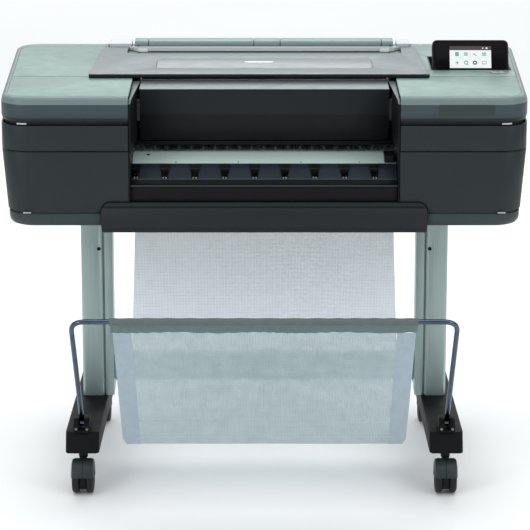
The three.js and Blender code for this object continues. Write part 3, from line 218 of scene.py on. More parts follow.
class Finish:
    """A material under construction: its tree, its shader, and short words for the nodes it needs."""

    def __init__(self, name, roughness, metallic=0.0, coat=0.0, coat_roughness=0.15):
        self.material = bpy.data.materials.new(name)
        self.material.use_nodes = True
        self.tree = self.material.node_tree
        self.shader = self.tree.nodes["Principled BSDF"]
        self.shader.inputs["Roughness"].default_value = roughness
        self.shader.inputs["Metallic"].default_value = metallic
        self.shader.inputs["Coat Weight"].default_value = coat
        self.shader.inputs["Coat Roughness"].default_value = coat_roughness

    def join(self, output, node, name):
        self.tree.links.new(output, node.inputs[name])

    def coordinates(self, source):
        """X, Y and Z on the piece, on its UV, or of the way its surface faces."""
        place = self.tree.nodes.new("ShaderNodeTexCoord")
        parts = self.tree.nodes.new("ShaderNodeSeparateXYZ")
        self.join(place.outputs[source], parts, "Vector")
        return parts.outputs

    def texture(self, scale, detail=2.0, stretch=(1, 1, 1)):
        """A noise pattern on the piece's own coordinates, stretched along the axes."""
        place = self.tree.nodes.new("ShaderNodeTexCoord")
        mapping = self.tree.nodes.new("ShaderNodeMapping")
        mapping.inputs["Scale"].default_value = stretch
        noise = self.tree.nodes.new("ShaderNodeTexNoise")
        noise.inputs["Scale"].default_value = scale
        noise.inputs["Detail"].default_value = detail
        self.join(place.outputs["Object"], mapping, "Vector")
        self.join(mapping.outputs["Vector"], noise, "Vector")
        return noise.outputs[0]

    def spread(self, value, low, high, start=0.3, end=0.7):
        """A value moved from one range to another."""
        node = self.tree.nodes.new("ShaderNodeMapRange")
        node.inputs["From Min"].default_value = start
        node.inputs["From Max"].default_value = end
        node.inputs["To Min"].default_value = low
        node.inputs["To Max"].default_value = high
        self.join(value, node, "Value")
        return node.outputs["Result"]

    def combine(self, first, second, operation="ADD"):
        """A maths operation on two values, each a number or an output."""
        node = self.tree.nodes.new("ShaderNodeMath")
        node.operation = operation
        for index, value in enumerate((first, second)):
            if isinstance(value, (int, float)):
                node.inputs[index].default_value = value
            else:
                self.tree.links.new(value, node.inputs[index])
        return node.outputs[0]

    def wave(self, value, rate):
        """A smooth wave along a value, from -1 to 1."""
        return self.combine(self.combine(value, rate, "MULTIPLY"), 0.0, "SINE")

    def from_middle(self, turns):
        """How far a value stands from the middle of its turn, 0 to 0.5."""
        saw = self.combine(self.combine(turns, 0.0, "FRACT"), -0.5)
        return self.combine(saw, 0.0, "ABSOLUTE")

    def blend(self, share, first, second):
        """A colour between two, each a colour or an output."""
        node = self.tree.nodes.new("ShaderNodeMix")
        node.data_type = "RGBA"
        self.tree.links.new(share, node.inputs[0])
        for index, colour in ((6, first), (7, second)):
            if isinstance(colour, tuple):
                node.inputs[index].default_value = (*colour[:3], 1.0)
            else:
                self.tree.links.new(colour, node.inputs[index])
        return node.outputs[2]

    def colour(self, output):
        self.join(output, self.shader, "Base Color")

    def roughness(self, output):
        self.join(output, self.shader, "Roughness")

    def paint_over(self, share, colour):
        """Lays a colour over the finish's own where the share is 1."""
        kept = self.shader.inputs["Base Color"].links[0].from_socket
        self.colour(self.blend(share, kept, shaded(colour, 1)))

    def emboss(self, height, depth, strength=1.0):
        """Raises the surface by a pattern, depth in millimetres."""
        bump = self.tree.nodes.new("ShaderNodeBump")
        bump.inputs["Strength"].default_value = strength
        bump.inputs["Distance"].default_value = depth / 1000
        self.join(height, bump, "Height")
        self.join(bump.outputs["Normal"], self.shader, "Normal")

    def facing_up(self, start, end):
        """From 0 to 1 as the surface turns up, by the Z of its normal."""
        return self.spread(self.coordinates("Normal")["Z"], 0.0, 1.0, start, end)


def moulded(name, colour, roughness, grain=0.8, depth=0.04, shade=0.08, shine=0.3, **shader):
    """Moulded plastic: a fine spark texture, faint clouding, and an uneven sheen."""
    finish = Finish(name, roughness, **shader)
    finish.shader.inputs["Specular IOR Level"].default_value = shine
    cloud = finish.texture(5, 3)
    speck = finish.texture(1000 / grain, 2)
    both = finish.combine(cloud, speck)
    mixed = finish.spread(both, 0, 1, 0.7, 1.3)
    finish.colour(finish.blend(mixed, shaded(colour, 1 - shade), shaded(colour, 1 + shade)))
    finish.roughness(finish.spread(finish.texture(22, 4), roughness - 0.06, roughness + 0.06))
    finish.emboss(speck, depth, 0.6)
    return finish


def pearl(name, colour, roughness, flake=0.10, **shader):
    """Satin metallic paint: bright flakes in the colour and faint orange peel."""
    finish = Finish(name, roughness, **shader)
    finish.shader.inputs["Specular IOR Level"].default_value = 0.3
    flakes = finish.spread(finish.texture(2600, 1), 0, 1, 0.35, 0.68)
    cloud = finish.spread(finish.texture(3, 2), 0, 1)
    flecked = finish.blend(flakes, shaded(colour, 1 - flake), shaded(colour, 1 + flake))
    deeper = finish.blend(flakes, shaded(colour, 0.95 - flake), shaded(colour, 0.97 + flake))
    finish.colour(finish.blend(cloud, deeper, flecked))
    finish.roughness(finish.spread(finish.texture(30, 3), roughness - 0.04, roughness + 0.05))
    finish.emboss(finish.texture(420, 2), 0.004, 0.4)
    return finish


def brushed(name, colour, roughness, stretch, metallic=0.9, shade=0.14):
    """Brushed or drawn metal with fine lines along one axis."""
    finish = Finish(name, roughness, metallic)
    lines = finish.texture(1, 3, stretch)
    cloud = finish.texture(4, 2)
    both = finish.spread(finish.combine(lines, cloud), 0, 1, 0.75, 1.25)
    finish.colour(finish.blend(both, shaded(colour, 1 - shade), shaded(colour, 1 + shade)))
    finish.roughness(finish.spread(lines, roughness - 0.08, roughness + 0.1))
    finish.emboss(lines, 0.01, 0.6)
    return finish


def shade_by_facing(finish, top, side, under):
    """Faces that look up, out and down each take their own colour, with a fine speckle; the colour for
    faces that look down is painted shade.
    """
    tint = finish.blend(finish.facing_up(-0.05, -0.4), shaded(side, 1), shaded(under, 1))
    tint = finish.blend(finish.facing_up(0.35, 0.6), tint, shaded(top, 1))
    speck = finish.spread(finish.texture(900, 2), 0.93, 1.05)
    scale = finish.tree.nodes.new("ShaderNodeVectorMath")
    scale.operation = "SCALE"
    finish.tree.links.new(tint, scale.inputs[0])
    finish.tree.links.new(speck, scale.inputs["Scale"])
    finish.colour(scale.outputs[0])
    return finish


def dark_chrome(name, colour):
    """Dark chrome plating with faint handling smears."""
    finish = Finish(name, 0.12, 1.0)
    smear = finish.texture(1, 3, (18, 60, 60))
    share = finish.spread(smear, 0, 1)
    finish.colour(finish.blend(share, shaded(colour, 0.85), shaded(colour, 1.15)))
    finish.roughness(finish.spread(smear, 0.08, 0.2))
    return finish


def roll_paper(name):
    """A wound roll: plain paper round it, fine wound edges on its ends."""
    finish = Finish(name, 0.7)
    place = finish.coordinates("Object")
    centre = (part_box("paper_roll")[0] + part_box("paper_roll")[1]) / 2
    across = finish.combine(place["Y"], -centre.y)
    up = finish.combine(place["Z"], -centre.z)
    square = finish.combine(
        finish.combine(across, across, "MULTIPLY"), finish.combine(up, up, "MULTIPLY")
    )
    radius = finish.combine(square, 0.5, "POWER")
    rings = finish.wave(radius, 9000)
    fibre = finish.texture(600, 4)
    mixed = finish.combine(finish.spread(rings, 0, 0.2, -1, 1), finish.spread(fibre, 0, 0.6))
    finish.colour(finish.blend(mixed, tone(214, 211, 202), tone(240, 239, 233)))
    finish.emboss(fibre, 0.02, 0.5)
    return finish


NET_PITCH, WEAVE_PITCH = 3.6, 0.9


def net(name, colour, share, fill, stripe):
    """Open netting: threads both ways on the cloth's own UV, in metres, with holes between them."""
    finish = Finish(name, 0.75)
    place = finish.coordinates("UV")
    threads = []
    for output in (place["X"], place["Y"]):
        away = finish.from_middle(finish.combine(output, 1000 / NET_PITCH, "MULTIPLY"))
        threads.append(finish.spread(away, 1, 0, share / 2 - 0.06, share / 2 + 0.06))
    cover = finish.combine(threads[0], threads[1], "MAXIMUM")
    finish.join(finish.spread(cover, fill, 0.92, 0, 1), finish.shader, "Alpha")
    uneven = finish.texture(1, 3, (40, 40, 40))
    weft = finish.spread(finish.wave(place["Y"], 800), 0, stripe, -1, 1)
    mixed = finish.combine(finish.spread(uneven, 0, 1), weft)
    finish.colour(finish.blend(mixed, shaded(colour, 0.86), shaded(colour, 1.1)))
    finish.emboss(finish.combine(threads[0], threads[1]), 0.15, 0.7)
    finish.shader.inputs["Sheen Weight"].default_value = 0.3
    return finish


def woven(name, colour, sheen=0.35):
    """Close-woven ribbon or sleeve cloth on the cloth's own UV, in metres."""
    finish = Finish(name, 0.7)
    place = finish.coordinates("UV")
    waves = [finish.wave(place[way], 6283 / WEAVE_PITCH) for way in ("X", "Y")]
    weave = finish.combine(waves[0], waves[1], "MULTIPLY")
    uneven = finish.texture(1, 4, (60, 60, 60))
    mixed = finish.combine(finish.spread(weave, 0, 0.5, -1, 1), finish.spread(uneven, 0, 0.5))
    finish.colour(finish.blend(mixed, shaded(colour, 0.86), shaded(colour, 1.1)))
    finish.emboss(weave, 0.08, 0.6)
    finish.shader.inputs["Sheen Weight"].default_value = sheen
    return finish


def lit(name, colour, strength):
    """A lit patch of the display, with a faint unevenness."""
    finish = Finish(name, 0.25)
    uneven = finish.spread(finish.texture(90, 2), 0, 1)
    glow = finish.blend(uneven, shaded(colour, 0.93), shaded(colour, 1.0))
    finish.colour(finish.blend(uneven, shaded(colour, 0.14), shaded(colour, 0.18)))
    finish.join(glow, finish.shader, "Emission Color")
    finish.shader.inputs["Emission Strength"].default_value = strength
    return finish


def band(finish, start, end, colour):
    """Paints the finish another colour between two heights in metres, fading over 1 mm."""
    height = finish.coordinates("Object")["Z"]
    above = finish.spread(height, 0, 1, start - 0.0005, start + 0.0005)
    below = finish.spread(height, 1, 0, end - 0.0005, end + 0.0005)
    finish.paint_over(finish.combine(above, below, "MULTIPLY"), colour)


NOTCH_PITCH, NOTCH_SHIFT = 69, -22


def notched(finish):
    """The output platen: tapering bands of painted shade round its notches, widening the dark of the
    openings, over the finish's own colour.
    """
    place = finish.coordinates("Object")
    shift = 0.5 - NOTCH_SHIFT / NOTCH_PITCH
    turns = finish.combine(finish.combine(place["X"], 1000 / NOTCH_PITCH, "MULTIPLY"), shift)
    away = finish.from_middle(turns)
    low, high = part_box("output_platen")
    reach = finish.spread(place["Y"], 8 / NOTCH_PITCH, 15 / NOTCH_PITCH, low.y, high.y)
    notch_shade = finish.spread(finish.combine(reach, away, "SUBTRACT"), 0, 1, -0.01, 0.01)
    finish.paint_over(notch_shade, tone(9, 10, 12))
    return finish


CHARCOAL = tone(30, 38, 40)
SAGE = tone(104, 131, 125)
SILVER = tone(94, 104, 107)
SHADE = tone(14, 16, 20)

RIM_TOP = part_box("right_top_rim")[1].z
WINDOW_SPLIT = at(0, 0, 234).z

charcoal = moulded("charcoal_texture", CHARCOAL, 0.52)
# Painted light: the rim's upward faces are painted lighter and its outward faces darker, and its
# downward faces take painted shade.
slate = shade_by_facing(
    moulded("slate_satin", CHARCOAL, 0.42, grain=0.5, depth=0.02),
    tone(98, 112, 113),
    tone(55, 69, 74),
    SHADE,
)
# The first band is a painted highlight: the rim's top 16 mm is painted lighter.
band(slate, RIM_TOP - 0.016, RIM_TOP + 0.01, tone(106, 121, 122))
band(slate, RIM_TOP - 0.08, RIM_TOP - 0.0475, tone(22, 27, 32))
tray_grey = moulded("tray_satin", tone(48, 60, 61), 0.42, grain=0.5, depth=0.02)
sage_paint = pearl("sage_pearl", SAGE, 0.45, metallic=0.15)
bar_paint = pearl("bar_pearl", tone(110, 132, 129), 0.42, metallic=0.2)
# The lid's downward faces take painted shade; its outward faces take a dark edge colour.
lid_paint = shade_by_facing(
    pearl("lid_pearl", SILVER, 0.42, metallic=0.15), SILVER, tone(26, 30, 33), SHADE
)
window_paint = pearl("lid_window_pearl", tone(107, 118, 120), 0.36, flake=0.06, metallic=0.1)
button_paint = pearl("button_silver", tone(176, 182, 184), 0.3, metallic=0.3)
rear_grey = moulded("rear_cover_grey", tone(112, 121, 121), 0.5, grain=0.7, shade=0.05)
black = moulded("black_moulded", tone(11, 12, 14), 0.45, grain=0.6, shine=0.2)
cover_dark = moulded("lower_cover_texture", tone(21, 26, 30), 0.5)
# Painted shadow: the output front is darkened for the shade it sits in, set back behind the lower
# cover.
shadow_dark = moulded("output_front_shadowed", tone(11, 13, 17), 0.5, shine=0.15)
foot_black = moulded("foot_black_texture", tone(9, 11, 13), 0.6, 1.1, 0.09, shade=0.2, shine=0.15)
bezel_black = moulded("bezel_black", tone(7, 8, 10), 0.35, grain=0.4, depth=0.01, shine=0.15)
gloss_black = moulded("screen_gloss_black", tone(4, 5, 7), 0.22, grain=3, depth=0.002, shine=0.07)
window_dark = moulded("window_smoked", tone(27, 31, 35), 0.36, grain=0.5, depth=0.015, shine=0.2)
# Painted shade: the window is painted darker below WINDOW_SPLIT.
band(window_dark, UNDERSIDE, WINDOW_SPLIT, tone(14, 17, 21))
platen_dark = notched(moulded("platen_blue_black", tone(26, 34, 45), 0.4, grain=0.5, depth=0.02))
# Painted light: the recess walls' upward faces are painted lighter, and their sides and downward faces
# take painted shade.
blade_grey = shade_by_facing(
    moulded("blade_grey", CHARCOAL, 0.45, shine=0.15), tone(92, 102, 104), tone(10, 12, 15), SHADE
)
ledge_grey = moulded("ledge_grey", tone(62, 71, 71), 0.4, grain=0.5, depth=0.02)
leg_metal = brushed("sage_drawn_aluminium", tone(163, 181, 178), 0.42, (700, 700, 5), metallic=0.5)
brace_metal = brushed("brace_drawn_aluminium", tone(150, 168, 164), 0.42, (5, 700, 700), metallic=0.5)
platen_metal = brushed(
    "platen_satin", tone(170, 192, 186), 0.45, (6, 900, 900), metallic=0.08, shade=0.08
)
zinc = brushed("zinc_sheet", tone(160, 163, 165), 0.38, (30, 200, 200))
bright_steel = brushed("bright_steel", tone(128, 130, 131), 0.35, (60, 300, 300))
star_steel = brushed("star_wheel_steel", tone(74, 78, 80), 0.45, (60, 300, 300), metallic=0.5)
chrome_bar = dark_chrome("dark_chrome", tone(84, 96, 112))
rubber = moulded("roller_rubber", tone(24, 24, 25), 0.75, grain=0.6, depth=0.06, shade=0.15)
hood_grey = moulded("caster_hood", tone(40, 49, 50), 0.42, grain=0.8, depth=0.04, shade=0.12)
tyre = moulded("caster_tyre", tone(16, 19, 21), 0.5, grain=0.7, depth=0.03, shade=0.12)
ink_grey = moulded("ink_grey", tone(58, 61, 64), 0.4, grain=0.6)
white_plastic = moulded(
    "roller_white", tone(222, 225, 224), 0.4, grain=0.5, depth=0.01, shade=0.03
)
roller_grey = moulded("exit_roller_grey", tone(126, 129, 129), 0.4, grain=0.5, depth=0.01)
light_grey = moulded(
    "hinge_light_grey", tone(188, 190, 192), 0.42, grain=0.7, depth=0.02, shade=0.04
)
board_metal = brushed("board_box_metal", tone(126, 132, 135), 0.42, (40, 260, 260))
plate_green = moulded("nameplate_satin", tone(47, 59, 56), 0.34, grain=0.4, depth=0.01)

SLOT_FINISH = {
    "charcoal_plastic": charcoal,
    "rim_plastic": slate,
    "tray_plastic": tray_grey,
    "sage_panel": sage_paint,
    "lid_plastic": lid_paint,
    "lid_window_plastic": window_paint,
    "black_plastic": black,
    "screen_black": gloss_black,
    "window_dark": window_dark,
    "sage_aluminium": leg_metal,
    "platen_metal": platen_metal,
    "dark_chrome": chrome_bar,
    "steel": zinc,
    "rubber": rubber,
    "basket_mesh": woven("basket_cloth", tone(178, 198, 198)),
    "roll_paper": roll_paper("roll_of_paper"),
    "ink_plastic": ink_grey,
}
NODE_FINISH = {
    "loading_bar": bar_paint,
    "rear_cover": rear_grey,
    "power_button": button_paint,
    "output_platen": platen_dark,
    "left_recess_wall": blade_grey,
    "right_recess_wall": blade_grey,
    "cross_brace": brace_metal,
    "left_foot": foot_black,
    "right_foot": foot_black,
    "left_bar_bracket": foot_black,
    "right_bar_bracket": foot_black,
    "screen_housing": bezel_black,
    "lower_front_cover": cover_dark,
    "output_front": shadow_dark,
    "electronics_box": board_metal,
}


# ---- Pieces ----
def finish_of(node):
    return NODE_FINISH.get(node, SLOT_FINISH[SLOT_OF[node]])


def make_mesh(name, shapes, finish):
    """One mesh from one or several shapes, smooth except at its real edges."""
    whole = bmesh.new()
    for shape in shapes if isinstance(shapes, list) else [shapes]:
        part = bpy.data.meshes.new("part")
        shape.to_mesh(part)
        shape.free()
        whole.from_mesh(part)
        bpy.data.meshes.remove(part)
    mesh = bpy.data.meshes.new(name)
    whole.to_mesh(mesh)
    whole.free()
    mesh.materials.append(finish.material)
    for face in mesh.polygons:
        face.use_smooth = True
    mesh.set_sharp_from_angle(angle=SHARP)
    return mesh


def fit(name, shapes, finish, body="frame"):
    """A finished piece that rides on a body of the machine."""
    made = bpy.data.objects.new(name, make_mesh(name, shapes, finish))
    bpy.context.scene.collection.objects.link(made)
    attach(made, body)
    return made


def cad_shape(node):
    """A merged copy of a CAD piece with its flat faces whole."""
    shape = bmesh.new()
    shape.from_mesh(NODES[node].data)
    bmesh.ops.remove_doubles(shape, verts=shape.verts, dist=1e-5)
    bmesh.ops.dissolve_limit(
        shape, angle_limit=math.radians(1), verts=shape.verts, edges=shape.edges
    )
    shape.normal_update()
    return shape


def dress(node, edge):
    """Stands a smoothly shaded copy in for a CAD piece, its edges rounded, in millimetres."""
    shape = cad_shape(node)
    if edge:
        round_edges(shape, sharp_edges(shape, SHARP), edge / 1000)
    made = fit(node + "_finished", shape, finish_of(node), BODY_OF[node])
    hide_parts(node)


for node, thing in NODES.items():
    thing.data.materials.clear()
    thing.data.materials.append(finish_of(node).material)

ROUNDED = {
    "screen_tray": 0.5,
    "screen_housing": 1.2,
    "screen_glass": 0.2,
    "power_button": 0.5,
    "base_tray": 0.6,
    "rear_cover": 0.6,
    "power_inlet": 0.5,
    "lower_front_cover": 0.9,
    "print_window": 0.8,
    "platen_strip": 0.4,
    "output_platen": 0.5,
    "output_front": 0.8,
    "lid": 1.2,
    "lid_window": 0.3,
    "cross_brace": 0.0,
    "basket_rear_rod": 0.0,
    "chassis_frame": 0.0,
    "carriage_beam": 0.0,
    "carriage": 1.0,
    "service_station": 0.6,
    "spindle": 0.6,
    "paper_roll": 0.4,
    "feed_roller": 0.3,
    "pinch_roller": 0.3,
    "electronics_box": 0.4,
    "carriage_belt": 0.0,
    "drive_pulley": 0.3,
    "idler_pulley": 0.3,
}
PAIRED = {
    "side_cover": 0.7,
    "ink_door": 0.6,
    "top_rim": 0.8,
    "front_top_panel": 0.4,
    "rear_top_panel": 0.4,
    "recess_wall": 0.5,
    "ink_cartridges": 0.8,
    "leg": 0.5,
    "foot": 1.2,
    "bar_bracket": 1.0,
    "front_caster_fork": 0.5,
    "rear_caster_fork": 0.5,
}
for node, edge in ROUNDED.items():
    dress(node, edge)
for node, edge in PAIRED.items():
    for side in SIDES:
        dress(side + "_" + node, edge)

# ---- Lid and top ----
# Black blocks behind the door seams: painted shade standing in for the dark inside the gaps.
seam_shade_blocks = [
    block(at(sign * x - 10, 27, z), at(sign * x + 10, 32, z + 20))
    for sign in (-1, 1)
    for x, z in ((320, 176), (538, 162), (558, 162))
]
fit("door_seam_shade_blocks", seam_shade_blocks, black)
emblem = plate(at(-48, 384, 311.5), at(22, 398, 312.4), 0.0069, edge=0.0003)
fit("lid_plain_badge", emblem, white_plastic, "lid")
grip = block(at(-46, 237.2, 304.4), at(22, 239, 308.4), 0.0007)
fit("lid_grip", grip, black, "lid")

window_top = block(at(-289.4, 140.6, 293.9), at(289.4, 249.5, 294.9), 0.0003)
fit("window_top_strip", window_top, lid_paint)

rear_strip = plate(at(-322, 584, 302.6), at(322, 591.2, 313.5), 0.003, axis=1, edge=0.001)
fit("roll_cover_strip", rear_strip, light_grey)


def hollow_ring(shape, width, lift):
    """Keeps a border of a single face, or grows one outwards, and gives it a little thickness."""
    bmesh.ops.inset_individual(shape, faces=shape.faces[:], thickness=width, use_even_offset=True)
    middle = max(shape.faces, key=lambda face: len(face.verts))
    bmesh.ops.delete(shape, geom=[middle], context="FACES")
    bmesh.ops.translate(shape, vec=(0, 0, lift), verts=shape.verts)
    bmesh.ops.recalc_face_normals(shape, faces=shape.faces)
    bmesh.ops.solidify(shape, geom=shape.faces[:], thickness=0.0004)
    bmesh.ops.recalc_face_normals(shape, faces=shape.faces)
    return shape


def top_face(shape):
    """Leaves only the largest face that looks up."""
    shape.normal_update()
    top = max(shape.faces, key=lambda face: face.calc_area() * face.normal.z)
    others = [face for face in shape.faces if face is not top]
    bmesh.ops.delete(shape, geom=others, context="FACES")
    return shape


def insert_seam(node):
    """A narrow dark gap round a top insert."""
    return hollow_ring(top_face(cad_shape(node)), -0.0012, 0.0002)


def hinge_cover(x0, x1, inner):
    """The light cap behind each end of the lid, with its latch."""
    cap = plate(at(x0, 601, 302.2), at(x1, 662, 319), 0.004, edge=0.0015)
    step = plate(at(x0 + 3, 655, 302.2), at(x1 - 3, 694, 314), 0.003, edge=0.001)
    latch = plate(at(inner - 9, 596, 302.4), at(inner + 9, 612, 311), 0.003, edge=0.0008)
    return [cap, step, latch]


fit("left_hinge_cover", hinge_cover(-383, -327, -324), light_grey)
fit("right_hinge_cover", hinge_cover(326, 358.5, 322), light_grey)
LATCHES = (-300, 297)
latches = [
    plate(at(x - 13, 583, 301), at(x + 13, 596, 309.5), 0.004, edge=0.0008) for x in LATCHES
]
latches += [rod(2.6, at(x, 590, 310.5), 15) for x in LATCHES]
fit("roll_latches", latches, white_plastic)


HAIR_GAP = 0.0008


def bar_segments(cuts):
    """The loading bar in lengths, with a hair gap at each joint."""
    lengths = []
    low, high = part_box("loading_bar")
    ends = [low.x - 0.01] + [x / 1000 for x in cuts] + [high.x + 0.01]
    for start, end in zip(ends, ends[1:]):
        shape = cad_shape("loading_bar")
        for place, way in ((start + HAIR_GAP, -1), (end - HAIR_GAP, 1)):
            everything = shape.verts[:] + shape.edges[:] + shape.faces[:]
            bmesh.ops.bisect_plane(
                shape,
                geom=everything,
                plane_co=(place, 0, 0),
                plane_no=(way, 0, 0),
                clear_outer=True,
            )
            bmesh.ops.holes_fill(shape, edges=open_edges(shape))
        round_edges(shape, sharp_edges(shape, 0.6), 0.0007)
        lengths.append(shape)
    return lengths


bar_lengths = bar_segments((-286, -26, 39, 289))
loading_bar = fit("loading_bar_lengths", bar_lengths, bar_paint)
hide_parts("loading_bar")
bar_low, bar_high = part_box("loading_bar")
core = block(bar_low + Vector((0.004, 0.006, 0.0005)), bar_high - Vector((0.004, 0.006, 0.004)))
fit("loading_bar_core", core, black)
bar_marks = [block(at(x - 2, 590.5, 303), at(x + 2, 593.2, 316), 0.0006) for x in (-311, 311)]
fit("loading_bar_marks", bar_marks, black)

# ---- Side units ----
CORNER = 60
TAB = [(51, -1.8), (56.2, -1.8), (56.2, 1.6), (51, 1.6)]
for side in SIDES:
    seams = [insert_seam(f"{side}_{end}_top_panel") for end in ("front", "rear")]
    fit(side + "_insert_seams", seams, black)
for side, sign in SIDES.items():
    start = -92 if sign > 0 else -112
    tab = turned(TAB, at(sign * 543, CORNER, 241.4), "Z", start, 24, 10, closed=True)
    round_edges(tab, sharp_edges(tab, 1), 0.0006)
    fit(side + "_release_tab", tab, light_grey)
    rest = block(at(sign * 544 - 9, 2.4, 32.4), at(sign * 544 + 9, 10, 34.2), 0.0004)
    fit(side + "_lower_tab", rest, light_grey)

name_low, name_high = at(396, -0.5, 261.5), at(524, 0.6, 286.5)
fit("blank_nameplate", plate(name_low, name_high, 0.0015, axis=1), plate_green)


def side_reach(depth, height):
    """How far out the side cover's wall stands: it draws in below and widens to the back."""
    fall = max(0.0, (175 - height) / 140)
    out = HALF_WIDTH - 11 * fall
    return out + 18 * (out - SLOT_EDGE) / (HALF_WIDTH - SLOT_EDGE) * depth / BODY_DEPTH


SLAT_FOOT, SLAT_TOP = 84, 150


def side_louvres(sign):
    """A row of cooling slats near the back of a side cover, leaning with its wall."""
    parts = []
    for i in range(11):
        depth = 430 + 16 * i
        low, high = side_reach(depth, SLAT_FOOT), side_reach(depth, SLAT_TOP)
        slat = block(at(0, depth, SLAT_FOOT), at(1.6, depth + 9, SLAT_TOP), 0.0005)
        lean = (high - low) / (SLAT_TOP - SLAT_FOOT)
        bmesh.ops.translate(slat, vec=(low / 1000 - 0.0002, 0, 0), verts=slat.verts)
        for vert in slat.verts:
            vert.co.x += (vert.co.z - at(0, 0, SLAT_FOOT).z) * lean
        parts.append(slat if sign > 0 else mirrored(slat))
    return parts


for side, sign in SIDES.items():
    fit(side + "_louvres", side_louvres(sign), black)

# ---- Paper path ----
STARS = [-284 + 28.2 * i for i in range(21)]


def star_wheel(centre):
    """A thin toothed wheel that holds the paper down."""
    wheel = bmesh.new()
    ring = bmesh.ops.create_circle(wheel, cap_ends=True, segments=28, radius=0.0068)["verts"]
    for number, vert in enumerate(ring):
        vert.co *= 0.8 if number % 2 else 1.0
    faces = bmesh.ops.extrude_face_region(wheel, geom=wheel.faces[:])["geom"]
    top = [item for item in faces if isinstance(item, bmesh.types.BMVert)]
    bmesh.ops.translate(wheel, vec=(0, 0, 0.0012), verts=top)
    bmesh.ops.recalc_face_normals(wheel, faces=wheel.faces)
    turn = Matrix.Translation(centre) @ Matrix.Rotation(math.pi / 2, 4, "Y")
    bmesh.ops.transform(wheel, matrix=turn, verts=wheel.verts)
    return wheel


wheels = []
holders = [block(at(-300, 164, 158.5), at(300, 178, 168), 0.001)]
for x in STARS:
    wheels.append(star_wheel(at(x, 170, 150.5)))
    wheels.append(rod(2.4, at(x + 0.6, 170, 150.5), 3.2, steps=12))
    holders.append(block(at(x - 6.4, 166, 149), at(x - 4, 174, 160), 0.0006))
    holders.append(block(at(x + 5.2, 166, 149), at(x + 7.6, 174, 160), 0.0006))
fit("star_wheels", wheels, star_steel)
fit("star_wheel_holders", holders, black)

end_block = plate(at(278, 96, 131), at(304, 158, 146), 0.005, edge=0.001)
fit("strip_end_block", end_block, black)
marks = [rod(3.6, at(-270.4, 143, 139.4), 1.2, "Z")]
marks += [
    block(at(x - 0.9, 101.5, 128.8), at(x + 0.9, 106, 131.5), 0.0003) for x in (-205, -60, 85, 220)
]
fit("strip_marks", marks, black)
ribs = [
    block(at(x - 0.7, 160, 141.8), at(x + 0.7, 240, 142.7), 0.0003) for x in range(-276, 268, 12)
]
fit("platen_ribs", ribs, platen_metal)

ROLLER = [(0, -1.5), (3.6, -1.5), (4.2, -0.9), (4.2, 0.9), (3.6, 1.5), (0, 1.5)]
rollers = []
axles = []
for i in range(9):
    x = (i - 4) * NOTCH_PITCH + NOTCH_SHIFT
    if i == 0:  # the wall cuts into the first notch
        x += 3
    for step in (-3.2, 3.2):
        rollers.append(turned(ROLLER, at(x + step, 36.5, 106.2), "X", steps=18))
    axles.append(rod(1.3, at(x, 36.5, 106.2), 6.5, steps=10))
    axles.append(block(at(x - 5.2, 33, 82), at(x + 5.2, 90, 99), 0.001))
fit("exit_rollers", rollers, roller_grey)
fit("exit_roller_axles", axles, black)
ledges = [
    block(at(-305.5, 21.5, 107.4), at(305.5, 24.2, 109.0), 0.0006),
    block(at(-305.5, 4.4, 95.4), at(305.5, 6.4, 97.4), 0.0007),
]
fit("exit_ledges", ledges, ledge_grey)

# ---- Touch screen ----
LEAN = Matrix.Translation(at(493, 352, 292)) @ Matrix.Rotation(math.radians(-32), 4, "X")
GLASS = -3.8


def on_screen(x, z, wide, high, lift, corner=1.0):
    """A thin rounded patch lying on the screen's glass, in millimetres from its hinge."""
    low = Vector((x - wide / 2, GLASS - lift, z - high / 2)) / 1000
    far = Vector((x + wide / 2, GLASS - lift + 0.12, z + high / 2)) / 1000
    patch = plate(low, far, corner / 1000, axis=1, edge=0.00002)
    bmesh.ops.transform(patch, matrix=LEAN, verts=patch.verts)
    return patch


def ring_on_screen(x, z, outer, inner, lift):
    """A flat ring on the glass."""
    outline = [(inner, -0.05), (outer, -0.05), (outer, 0.05), (inner, 0.05)]
    ring = turned(outline, Vector((0, 0, 0)), "Y", steps=28, closed=True)
    place = Matrix.Translation(Vector((x, GLASS - lift, z)) / 1000)
    bmesh.ops.transform(ring, matrix=LEAN @ place, verts=ring.verts)
    return ring


white_light = lit("display_white", tone(240, 246, 246), 0.78)
dark_light = lit("display_bar", tone(38, 44, 38), 0.1)
teal_light = lit("display_teal", tone(64, 196, 178), 0.5)
pale_light = lit("display_pale_teal", tone(176, 222, 214), 0.55)
grey_light = lit("display_grey", tone(104, 108, 112), 0.35)
pink_light = lit("display_pink", tone(214, 120, 136), 0.5)


def show(name, shapes, finish):
    fit(name, shapes, finish, "screen")


show("display_panel", on_screen(0, 34.6, 99, 45.6, 0.16, 0.4), white_light)
show("display_status_bar", on_screen(0, 62.7, 99, 10.4, 0.16, 0.4), dark_light)
show(
    "display_status_dots",
    [on_screen(29.8, 62.6, 3.4, 3.4, 0.3, 1.65), on_screen(39, 62.6, 4.6, 4.6, 0.3, 2.2)],
    white_light,
)
icons = (-32, -10.8, 10.5, 32.8)
upper, lower = 47.5, 25.5
show(
    "display_icons_teal",
    [
        on_screen(icons[0], upper, 8.6, 10.6, 0.3, 1.6),
        ring_on_screen(icons[1], lower, 5.2, 3.2, 0.3),
        on_screen(icons[1] + 4.6, lower - 4.6, 3.0, 1.6, 0.3, 0.7),
    ],
    teal_light,
)
show(
    "display_icons_pale",
    [
        on_screen(icons[1], upper, 9.4, 9.4, 0.3, 1.2),
        on_screen(icons[3], upper, 10, 9, 0.3, 1.2),
        on_screen(icons[0], upper, 4.6, 1.2, 0.44, 0.4),
    ],
    pale_light,
)
